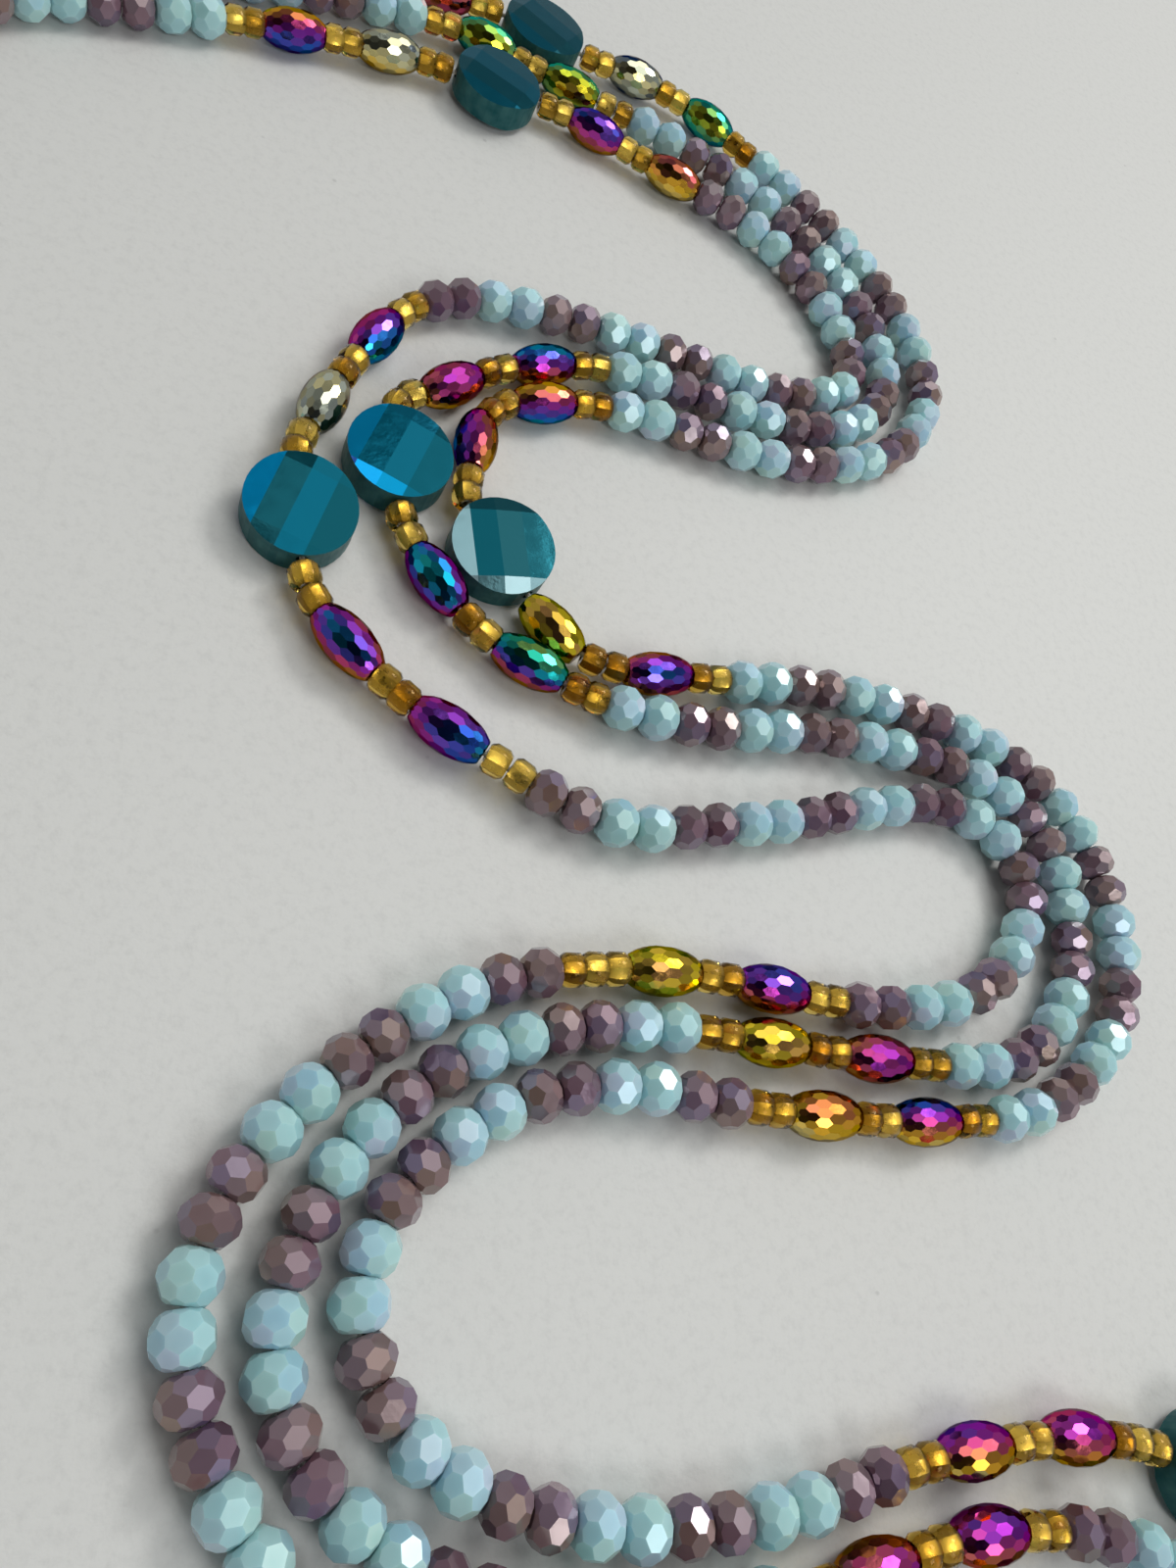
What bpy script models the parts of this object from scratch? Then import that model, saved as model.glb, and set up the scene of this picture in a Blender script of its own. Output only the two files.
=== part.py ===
# Three-strand waist beads on one bar clasp, laid in bends on a flat surface.
# Each strand is made in stretches that run from one coin bead to the next.
import bpy
import bmesh
import math
from mathutils import Matrix, Vector

for leftover in list(bpy.data.objects):
    bpy.data.objects.remove(leftover, do_unlink=True)

# Sizes in metres.
RONDELLE_DIAMETER = 0.0060
OVAL_DIAMETER = 0.0058
OVAL_LENGTH = 0.0090
SEED_DIAMETER = 0.0040
SEED_LENGTH = 0.0027
COIN_DIAMETER = 0.0140
COIN_THICKNESS = 0.0060
COIN_BEVEL = 0.0009
THREAD_DIAMETER = 0.0008
THREAD_CLEARANCE = 0.00035
BEAD_GAP = 0.0003
CLASP_LENGTH = 0.0090
CLASP_WIDTH = 0.0230
CLASP_SPACING = 0.0075
CLASP_EDGE = 0.0008
THREAD_REACH = CLASP_LENGTH / 2
BARE_THREAD = 0.0008
BEND_BULGE = 0.00025
LONGEST_STEP = 0.016
SHORTEST_STEP = 0.0020
STATION_STEP = 0.0005
CURVE_STEP = 0.0007
BEAD_SIDES = 10
COIN_SIDES = 16
HOLE_SIDES = 8

AXIS_HEIGHT = max(RONDELLE_DIAMETER, OVAL_DIAMETER, SEED_DIAMETER, COIN_THICKNESS) / 2
HOLE_RADIUS = THREAD_DIAMETER / 2 + THREAD_CLEARANCE

# The rows lie over this length of table, which is 285.7 units of the places below.
LAYOUT_LENGTH = 0.2857
LAYOUT_UNIT = LAYOUT_LENGTH / 285.7

# An oval's outline: share of its length, share of its radius.
OVAL_OUTLINE = [
    (0.00, 0.66),
    (0.18, 0.89),
    (0.50, 1.00),
    (0.82, 0.89),
    (1.00, 0.66),
]

# Where the clasp and the coins lie: x and y in layout units, heading in degrees.
CLASP_PLACE = (-105, -10.5, 90)
COIN_PLACES = {
    "inner_coin_1": (-15.7, 118.1, 3),
    "inner_coin_2": (-36.9, 28.4, -81),
    "inner_coin_3": (-2, -113.5, 180),
    "middle_coin_1": (-25.9, 40, -84),
    "middle_coin_2": (21, -124.5, 180),
    "outer_coin_1": (-8.3, 136.1, -6),
    "outer_coin_2": (-12, 30, -55),
    "outer_coin_3": (78.4, -73, -19),
    "outer_coin_4": (-18, -135.5, 180),
}

# The strings' routes, with points in layout units.
ROUTES = {
    "inner_strand_1": [
        (-97.5, 14), (-97.5, 42), (-97, 62), (-92.5, 80), (-85.5, 92.5), (-76.5, 100),
        (-67, 104.3), (-55, 109.4), (-46.5, 112.4), (-35, 115.6), (-27, 117.4),
    ],
    "inner_strand_2": [
        (-4, 118.6), (2, 117.2), (15, 113.7), (24.5, 111.4), (32.5, 107.4), (39.5, 101.6),
        (44.3, 94), (46.7, 86), (44.8, 79), (38.7, 75.3), (30, 73.4), (16, 73.8), (2, 74),
        (-9, 73.2), (-18.5, 71), (-25.5, 66.4), (-29.8, 59.6), (-33.2, 52.4), (-36, 44.8),
    ],
    "inner_strand_3": [
        (-33.6, 16.2), (-29.1, 11.6), (-23.3, 6.8), (-17, 3.4), (-10, 0), (-3, -3), (6, -4.5),
        (15, -2.8), (28, 0.2), (42, 4.6), (52.5, 6.7), (58.8, 5.5), (63.3, 2.2), (65.3, -3),
        (63.7, -9.2), (59.3, -15.5), (52.5, -20), (43, -22.3), (30, -22.6), (16, -21.6),
        (1, -22.4), (-9, -24.5), (-19.8, -30.2), (-30, -39.4), (-36.1, -48.8), (-37.5, -58),
        (-34.8, -67), (-29.6, -75), (-21.5, -82.3), (-8, -88),
    ],
    "inner_strand_4": [
        (30, -90.5), (60, -91.3), (80, -92.2), (90, -93.2), (97, -97), (99.3, -103.2),
        (96.5, -109.7), (88, -113.5), (60, -113.5), (30, -113.5),
    ],
    "inner_strand_5": [
        (-20, -113.5), (-50, -113.5), (-80, -113), (-92.4, -107.5), (-97.5, -95), (-97.5, -65),
        (-97.5, -35),
    ],
    "middle_strand_1": [
        (-105, 14), (-105, 42), (-104.3, 66), (-99, 86), (-89.5, 99.5), (-77, 108.7),
        (-64, 115.2), (-50, 121), (-36.8, 125.5), (-28, 127.7), (-19.5, 128.5), (-11.8, 127.1),
        (-3.5, 125.8), (9.8, 123.6), (20, 121.3), (28.5, 118.4), (36.5, 113.9), (43.8, 107.6),
        (49.7, 99.6), (52.9, 91), (53.3, 83.2), (49.8, 75.6), (44.5, 70.7), (36, 67.7), (24, 66.8),
        (10, 67.3), (0, 65.9), (-7, 63.3), (-13.5, 59.7), (-19.4, 54.9),
    ],
    "middle_strand_2": [
        (-22.8, 27.6), (-19.2, 22.8), (-14.2, 17.8), (-7, 14.5), (0, 12.1), (9, 11),
        (18.5, 11.4), (32, 13.6), (46, 14.1), (57.5, 12.9), (66.3, 8.9), (71.3, 2.7),
        (72.3, -6), (71, -14.8), (66.2, -22.3), (59.3, -27.2), (50, -28.8), (36.5, -29),
        (22, -28.4), (7, -28.1), (-5, -30), (-16, -35.1), (-24, -42.6), (-28.9, -52.5),
        (-29.7, -61), (-26, -69), (-18.5, -75.4), (-6, -80.3), (8, -81.6),
    ],
    "middle_strand_3": [
        (29.5, -79.8), (44, -77.5), (56, -77.6), (65, -79.3), (75, -83.9), (88, -85.6),
        (102, -90.5), (108, -104.5), (102, -118.5), (88, -124.5), (60, -124.5),
    ],
    "middle_strand_4": [
        (0, -124.5), (-30, -124.5), (-60, -124.5), (-83, -123), (-99, -113), (-105, -95),
        (-105, -65), (-105, -35),
    ],
    "outer_strand_1": [
        (-112.5, 14), (-112.5, 42), (-112, 68), (-107, 90), (-97, 105.5), (-84, 116.5),
        (-68, 125), (-50, 130.8), (-35, 134), (-24, 135.9),
    ],
    "outer_strand_2": [
        (8.4, 135.5), (17, 134), (23.2, 131.4), (30.5, 127.1), (38.3, 122.2), (46.8, 115.4),
        (53.5, 108.2), (58.6, 99.9), (61.5, 91), (61.7, 83), (58.6, 75.8), (52.8, 68.5),
        (44, 63.3), (33.5, 60), (20, 59.2), (8, 59.8), (0, 58.7), (-6, 56.8), (-12, 54.2),
        (-15.1, 50.2), (-16.1, 43),
    ],
    "outer_strand_3": [
        (-4.6, 20.2), (0, 17.4), (5.5, 16.9), (12.5, 17.8), (22, 19.1), (33, 20.9), (47, 20.8),
        (58, 19.2), (67.4, 15.9), (75.5, 9), (79.9, 0), (80.5, -9.5), (77.6, -20), (70.5, -27.9),
        (60.2, -33.7), (48, -35.6), (32, -36.2), (17, -35.7), (4.5, -34.8), (-6, -36.8),
        (-14.3, -41.5), (-20.6, -48.5), (-22.4, -57.5), (-18.8, -65.4), (-10.5, -71.4),
        (0, -74.3), (12, -75), (22.5, -74), (34, -71.4), (46, -69.7), (60, -69),
    ],
    "outer_strand_4": [
        (92, -78), (104, -84.5), (114, -95), (118, -108), (114, -121), (104, -131),
        (90, -135.2), (60, -135.5), (30, -135.5),
    ],
    "outer_strand_5": [
        (-40, -135.5), (-62, -135.4), (-82, -133), (-99, -125), (-109.5, -111), (-112.5, -92),
        (-112.5, -62), (-112.5, -35),
    ],
}

# What each stretch runs between, and its beads: s is a seed bead, o an oval bead
# a number a run of that many rondelles and each dash a bit of bare thread, which a
# run spreads over its beads. A joint is where two stretches meet.
STRETCHES = [
    ("inner_strand_1", "clasp:-1", "sssss 26 ssossoss", "inner_coin_1"),
    ("inner_strand_2", "inner_coin_1", "ssosso 26 ssosso-ss", "inner_coin_2"),
    ("inner_strand_3", "inner_coin_2", "-s-sosso-s-s 26 ssossosss 26", "joint:16,-90,0"),
    ("inner_strand_4", "joint:16,-90,0", "ssossoss 26 ssossoss", "inner_coin_3"),
    ("inner_strand_5", "inner_coin_3", "ssossoss 26 ssoss", "clasp:-1"),
    ("middle_strand_1", "clasp:0", "ssossossosss 26----- ssosso-s-s 26---- sso-ss-o-ss", "middle_coin_1"),
    ("middle_strand_2", "middle_coin_1", "s-so-sso-ss 26 ssossoss 26", "joint:21,-81.2,3"),
    ("middle_strand_3", "joint:21,-81.2,3", "ssossoss 26 ssossoss", "middle_coin_2"),
    ("middle_strand_4", "middle_coin_2", "ssossoss 26 ssossossossssss", "clasp:0"),
    ("outer_strand_1", "clasp:1", "ssossossoss 26 ssossoss", "outer_coin_1"),
    ("outer_strand_2", "outer_coin_1", "ssossoss 26 ssos-so-ss", "outer_coin_2"),
    ("outer_strand_3", "outer_coin_2", "o-s-soss 26 ssossoss 26 ssossosss", "outer_coin_3"),
    ("outer_strand_4", "outer_coin_3", "ssossoss 26 ssossoss", "outer_coin_4"),
    ("outer_strand_5", "outer_coin_4", "ssossoss 26 ssossoss", "clasp:1"),
]


def heading_vector(degrees):
    return Vector((math.cos(math.radians(degrees)), math.sin(math.radians(degrees)), 0))


def place_vector(x, y):
    return Vector((x * LAYOUT_UNIT, y * LAYOUT_UNIT, AXIS_HEIGHT))


def end_of_stretch(holder, leaving):
    """The point where a stretch starts or stops, its heading there and whether thread shows."""
    side = 1 if leaving else -1
    if holder.startswith("joint:"):
        x, y, degrees = [float(word) for word in holder[6:].split(",")]
        heading = heading_vector(degrees)
        return place_vector(x, y) + heading * side * BEAD_GAP / 2, heading, False
    if holder.startswith("clasp:"):
        x, y, degrees = CLASP_PLACE
        heading = heading_vector(degrees)
        across = Vector((heading.y, -heading.x, 0)) * -int(holder[6:]) * CLASP_SPACING
        reach = CLASP_LENGTH / 2 + BEAD_GAP
        return place_vector(x, y) + across + heading * side * reach, heading, True
    x, y, degrees = COIN_PLACES[holder]
    heading = heading_vector(degrees)
    return place_vector(x, y) + heading * side * (COIN_DIAMETER / 2 + BEAD_GAP), heading, True


def smooth_route(points, first_heading, last_heading):
    """A fine polyline on a smooth curve through the points (cubic pieces, chord weighted)."""
    slopes = []
    for index, point in enumerate(points):
        if index == 0:
            slopes.append(first_heading.copy())
        elif index == len(points) - 1:
            slopes.append(last_heading.copy())
        else:
            before = point - points[index - 1]
            after = points[index + 1] - point
            weight = before.length / (before.length + after.length)
            slope = before.normalized() * (1 - weight) + after.normalized() * weight
            slopes.append(slope)
    fine = [points[0].copy()]
    for index in range(len(points) - 1):
        chord = (points[index + 1] - points[index]).length
        pieces = max(4, int(chord / CURVE_STEP))
        for piece in range(1, pieces + 1):
            t = piece / pieces
            h_start = 2 * t ** 3 - 3 * t ** 2 + 1
            h_leave = t ** 3 - 2 * t ** 2 + t
            h_stop = -2 * t ** 3 + 3 * t ** 2
            h_reach = t ** 3 - t ** 2
            fine.append(points[index] * h_start + slopes[index] * chord * h_leave
                        + points[index + 1] * h_stop + slopes[index + 1] * chord * h_reach)
    return fine


class Route:
    def __init__(self, fine):
        self.fine = fine
        self.marks = [0.0]
        for before, after in zip(fine, fine[1:]):
            self.marks.append(self.marks[-1] + (after - before).length)
        self.length = self.marks[-1]

    def at(self, distance):
        """The point and the direction at a distance along the route."""
        low, high = 0, len(self.marks) - 1
        while high - low > 1:
            middle = (low + high) // 2
            if self.marks[middle] <= distance:
                low = middle
            else:
                high = middle
        span = self.marks[high] - self.marks[low]
        share = (distance - self.marks[low]) / span
        before = self.fine[max(low - 1, 0)]
        after = self.fine[min(high + 1, len(self.fine) - 1)]
        point = self.fine[low].lerp(self.fine[high], share)
        return point, (after - before).normalized()

    def stations(self, start, stop):
        """Distances between start and stop, close together where the route bends."""
        found = []
        last = start
        last_direction = self.at(start)[1]
        steps = int((stop - start) / STATION_STEP)
        for step in range(1, steps):
            distance = start + (stop - start) * step / steps
            direction = self.at(distance)[1]
            bulge = (distance - last) * direction.angle(last_direction) / 8
            if bulge > BEND_BULGE or distance - last > LONGEST_STEP:
                found.append(distance)
                last = distance
                last_direction = direction
        if found and stop - found[-1] < SHORTEST_STEP:
            found.pop()
        return found


def fixed_length(word):
    """The length of a group, or of the bare thread that shows in a run."""
    if word[0].isdigit():
        return word.count("-") * BARE_THREAD
    lengths = {"s": SEED_LENGTH, "o": OVAL_LENGTH, "-": BARE_THREAD}
    return sum(lengths[letter] for letter in word)


def run_count(word):
    return int(word.strip("-")) if word[0].isdigit() else 0


def stretch_profile(route, pattern):
    """Distance and radius pairs: seeds and ovals keep their size, the runs share the rest."""
    words = pattern.split()
    fixed = sum(fixed_length(word) for word in words)
    pitch = (route.length - fixed) / sum(run_count(word) for word in words)
    profile = []
    distance = 0.0
    for word in words:
        if run_count(word):
            stop = distance + pitch * run_count(word) + fixed_length(word)
            marks = [distance] + route.stations(distance, stop) + [stop]
            profile += [(mark, RONDELLE_DIAMETER / 2) for mark in marks]
            distance = stop
            continue
        for letter in word:
            if letter == "-":
                distance += BARE_THREAD
                if profile:
                    profile.append((distance, profile[-1][1]))
            elif letter == "s":
                if not profile or profile[-1][1] == RONDELLE_DIAMETER / 2:
                    profile.append((distance, SEED_DIAMETER / 2))
                distance += SEED_LENGTH
                profile.append((distance, SEED_DIAMETER / 2))
            else:
                outline = OVAL_OUTLINE[1:] if profile else OVAL_OUTLINE
                for share, wide in outline:
                    profile.append((distance + share * OVAL_LENGTH, wide * OVAL_DIAMETER / 2))
                distance += OVAL_LENGTH
    return profile, pitch


def merge_seeds(profile):
    """Drops the ring between two seeds in a row, which lies on a straight side."""
    kept = []
    for index, (distance, radius) in enumerate(profile):
        if 0 < index < len(profile) - 1:
            before, after = profile[index - 1], profile[index + 1]
            same = before[1] == radius == after[1] == SEED_DIAMETER / 2
            if same and before[0] < distance < after[0]:
                continue
        kept.append((distance, radius))
    return kept


def ring(mesh, centre, direction, radius, sides):
    side = Vector((direction.y, -direction.x, 0)).normalized()
    up = Vector((0, 0, 1))
    verts = []
    for index in range(sides):
        angle = -math.pi / 2 + 2 * math.pi * index / sides
        verts.append(mesh.verts.new(centre + (side * math.cos(angle) + up * math.sin(angle)) * radius))
    return verts


def finish_mesh(mesh, name, colour, roughness, metallic):
    bmesh.ops.recalc_face_normals(mesh, faces=mesh.faces)
    data = bpy.data.meshes.new(name)
    mesh.to_mesh(data)
    mesh.free()
    made = bpy.data.objects.new(name, data)
    bpy.context.scene.collection.objects.link(made)
    material = bpy.data.materials.new(name + "_colour")
    material.use_nodes = True
    shader = material.node_tree.nodes["Principled BSDF"]
    shader.inputs["Base Color"].default_value = (*colour, 1)
    shader.inputs["Roughness"].default_value = roughness
    shader.inputs["Metallic"].default_value = metallic
    data.materials.append(material)
    return made


def make_stretch(name, start_holder, pattern, stop_holder):
    start, start_heading, start_thread = end_of_stretch(start_holder, True)
    stop, stop_heading, stop_thread = end_of_stretch(stop_holder, False)
    points = [start] + [place_vector(x, y) for x, y in ROUTES[name]] + [stop]
    route = Route(smooth_route(points, start_heading, stop_heading))
    profile, pitch = stretch_profile(route, pattern)
    profile = merge_seeds(profile)
    mesh = bmesh.new()
    rings = []
    if start_thread:
        for along in (-THREAD_REACH, 0.0):
            rings.append(ring(mesh, start + start_heading * along, start_heading,
                              THREAD_DIAMETER / 2, BEAD_SIDES))
    for distance, radius in profile:
        point, direction = route.at(min(max(distance, 0.0), route.length))
        if distance <= 0.0:
            direction = start_heading
        if distance >= route.length - 1e-7:
            direction = stop_heading
        rings.append(ring(mesh, point, direction, radius, BEAD_SIDES))
    if stop_thread:
        for along in (0.0, THREAD_REACH):
            rings.append(ring(mesh, stop + stop_heading * along, stop_heading,
                              THREAD_DIAMETER / 2, BEAD_SIDES))
    for before, after in zip(rings, rings[1:]):
        for index in range(BEAD_SIDES):
            follow = (index + 1) % BEAD_SIDES
            mesh.faces.new((before[index], before[follow], after[follow], after[index]))
    mesh.faces.new(rings[0])
    mesh.faces.new(rings[-1])
    made = finish_mesh(mesh, name, (0.35, 0.47, 0.50), 0.25, 0.0)
    made.data.shade_smooth()
    made.data.set_sharp_from_angle(angle=math.radians(35))
    print(name, "length", round(route.length * 1000, 1), "pitch", round(pitch * 1000, 2))
    return made


def drill(solid, places, heading, length):
    """Cuts round holes along the heading through the solid."""
    cutter_mesh = bmesh.new()
    for place in places:
        turn = Vector((0, 0, 1)).rotation_difference(heading).to_matrix().to_4x4()
        bmesh.ops.create_cone(cutter_mesh, cap_ends=True, segments=HOLE_SIDES,
                              radius1=HOLE_RADIUS, radius2=HOLE_RADIUS, depth=length,
                              matrix=Matrix.Translation(place) @ turn)
    cutter_data = bpy.data.meshes.new("hole_cutter")
    cutter_mesh.to_mesh(cutter_data)
    cutter_mesh.free()
    cutter = bpy.data.objects.new("hole_cutter", cutter_data)
    bpy.context.scene.collection.objects.link(cutter)
    cut = solid.modifiers.new("drilled", "BOOLEAN")
    cut.operation = "DIFFERENCE"
    cut.solver = "EXACT"
    cut.object = cutter
    bpy.context.view_layer.update()
    drilled = bpy.data.meshes.new_from_object(solid.evaluated_get(bpy.context.evaluated_depsgraph_get()))
    solid.modifiers.remove(cut)
    solid.data = drilled
    bpy.data.objects.remove(cutter, do_unlink=True)


def make_coin(name):
    """A round puck with a flat table and a ring of bevel facets on each side."""
    x, y, degrees = COIN_PLACES[name]
    heading = heading_vector(degrees)
    centre = place_vector(x, y)
    corner = COIN_DIAMETER / 2 / math.cos(math.pi / COIN_SIDES)
    levels = [
        (-COIN_THICKNESS / 2, corner - COIN_BEVEL),
        (-COIN_THICKNESS / 2 + COIN_BEVEL, corner),
        (COIN_THICKNESS / 2 - COIN_BEVEL, corner),
        (COIN_THICKNESS / 2, corner - COIN_BEVEL),
    ]
    mesh = bmesh.new()
    rings = []
    for height, radius in levels:
        verts = []
        for index in range(COIN_SIDES):
            angle = math.radians(degrees) + 2 * math.pi * (index + 0.5) / COIN_SIDES
            offset = Vector((radius * math.cos(angle), radius * math.sin(angle), height))
            verts.append(mesh.verts.new(centre + offset))
        rings.append(verts)
    for below, above in zip(rings, rings[1:]):
        for index in range(COIN_SIDES):
            follow = (index + 1) % COIN_SIDES
            mesh.faces.new((below[index], below[follow], above[follow], above[index]))
    mesh.faces.new(rings[0])
    mesh.faces.new(rings[-1])
    made = finish_mesh(mesh, name, (0.02, 0.16, 0.22), 0.12, 0.3)
    drill(made, [centre], heading, COIN_DIAMETER * 1.2)
    return made


def make_clasp():
    """One plain bar that all three strands end in."""
    x, y, degrees = CLASP_PLACE
    heading = heading_vector(degrees)
    across = Vector((heading.y, -heading.x, 0))
    centre = place_vector(x, y)
    mesh = bmesh.new()
    bmesh.ops.create_cube(mesh, size=1)
    turn = Matrix.Rotation(math.radians(degrees), 4, "Z")
    scale = Matrix.Diagonal((CLASP_LENGTH, CLASP_WIDTH, AXIS_HEIGHT * 2, 1))
    bmesh.ops.transform(mesh, matrix=Matrix.Translation(centre) @ turn @ scale, verts=mesh.verts)
    bmesh.ops.bevel(mesh, geom=list(mesh.edges), offset=CLASP_EDGE, segments=1,
                    affect="EDGES", clamp_overlap=True)
    made = finish_mesh(mesh, "clasp_bar", (0.72, 0.58, 0.30), 0.3, 1.0)
    places = [centre + across * CLASP_SPACING * step for step in (-1, 0, 1)]
    drill(made, places, heading, CLASP_LENGTH * 1.2)
    return made


pieces = [make_stretch(*stretch) for stretch in STRETCHES]
pieces += [make_coin(name) for name in COIN_PLACES]
pieces.append(make_clasp())

# The whole is moved so that the middle of its footprint is the origin.
corners = [vertex.co for piece in pieces for vertex in piece.data.vertices]
middle_x = (min(corner.x for corner in corners) + max(corner.x for corner in corners)) / 2
middle_y = (min(corner.y for corner in corners) + max(corner.y for corner in corners)) / 2
lowest = min(corner.z for corner in corners)
shift = Vector((-middle_x, -middle_y, -lowest))
for piece in pieces:
    piece.data.transform(Matrix.Translation(shift))
    piece.data.update()
print("shift in millimetres", [round(value * 1000, 3) for value in shift])
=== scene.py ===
import math
import random

import bmesh
import bpy
from mathutils import Matrix, Vector


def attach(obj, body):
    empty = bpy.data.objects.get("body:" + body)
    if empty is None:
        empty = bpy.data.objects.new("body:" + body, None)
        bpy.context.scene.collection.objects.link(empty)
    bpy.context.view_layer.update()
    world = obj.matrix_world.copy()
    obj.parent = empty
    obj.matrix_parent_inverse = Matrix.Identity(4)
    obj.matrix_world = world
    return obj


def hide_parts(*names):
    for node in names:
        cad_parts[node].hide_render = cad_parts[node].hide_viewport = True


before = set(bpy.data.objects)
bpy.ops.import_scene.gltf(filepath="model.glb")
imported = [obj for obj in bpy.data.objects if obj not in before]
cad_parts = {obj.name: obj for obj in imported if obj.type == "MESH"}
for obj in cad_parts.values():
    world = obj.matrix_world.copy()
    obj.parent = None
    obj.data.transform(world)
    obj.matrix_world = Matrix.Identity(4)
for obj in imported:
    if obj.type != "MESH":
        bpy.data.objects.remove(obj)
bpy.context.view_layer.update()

shot = bpy.context.scene
turnFull = 2 * math.pi
strandNodes = [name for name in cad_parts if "strand" in name]
print("frame loaded:", len(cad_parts), "nodes,", len(strandNodes), "of them strands")


def placeObject(name, data):
    made = bpy.data.objects.new(name, data)
    shot.collection.objects.link(made)
    return made


def placeMesh(name, mesh):
    data = bpy.data.meshes.new(name)
    mesh.to_mesh(data)
    mesh.free()
    return placeObject(name, data)


cameraPlace = {
    "location": (-0.051806, -0.059674, 0.116650),
    "target": (-0.002176, -0.000354, 0.003000),
    "lens": 35.667,
    "sensorWidth": 36.0,
    "nearest": 0.005,
    "farthest": 20.0,
}


def makeCamera(place):
    data = bpy.data.cameras.new("overTheBeads")
    data.sensor_fit = "HORIZONTAL"
    data.sensor_width = place["sensorWidth"]
    data.lens = place["lens"]
    data.clip_start = place["nearest"]
    data.clip_end = place["farthest"]
    camera = placeObject("overTheBeads", data)
    location = Vector(place["location"])
    ahead = (Vector(place["target"]) - location).normalized()
    tableUp = Vector((0, 1, 0))
    up = (tableUp - ahead * tableUp.dot(ahead)).normalized()
    right = ahead.cross(up)
    turn = Matrix((right, up, -ahead)).transposed().to_4x4()
    camera.matrix_world = Matrix.Translation(location) @ turn
    shot.camera = camera


makeCamera(cameraPlace)
print("camera made")

# The rows on the table. Lengths are in metres. The places further down are in millimetres,
# and their headings in degrees.
rowLayout = {
    "millimetre": 0.001,
    "shift": (-0.002176, -0.000354),
    "axisHeight": 0.0030,
    "beadGap": 0.0003,
    "bareLength": 0.0008,
    "seedLength": 0.0027,
    "ovalLength": 0.0090,
    "coinDiameter": 0.0140,
    "claspLength": 0.0090,
    "claspSpacing": 0.0075,
    "threadReach": 0.0045,
    "finestStep": 0.0007,
    "fewestSteps": 4,
    "aquaPitch": 4.84,      # shares of a run's length, aqua against mauve
    "mauvePitch": 4.49,
    "dashBare": 0.40,       # share of a dash that stays bare, the rest lengthens its beads
}
claspPlace = (-105, -10.5, 90)
coinPlaces = {
    "inner_coin_1": (-15.7, 118.1, 3),
    "inner_coin_2": (-36.9, 28.4, -81),
    "inner_coin_3": (-2, -113.5, 180),
    "middle_coin_1": (-25.9, 40, -84),
    "middle_coin_2": (21, -124.5, 180),
    "outer_coin_1": (-8.3, 136.1, -6),
    "outer_coin_2": (-12, 30, -55),
    "outer_coin_3": (78.4, -73, -19),
    "outer_coin_4": (-18, -135.5, 180),
}

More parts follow.
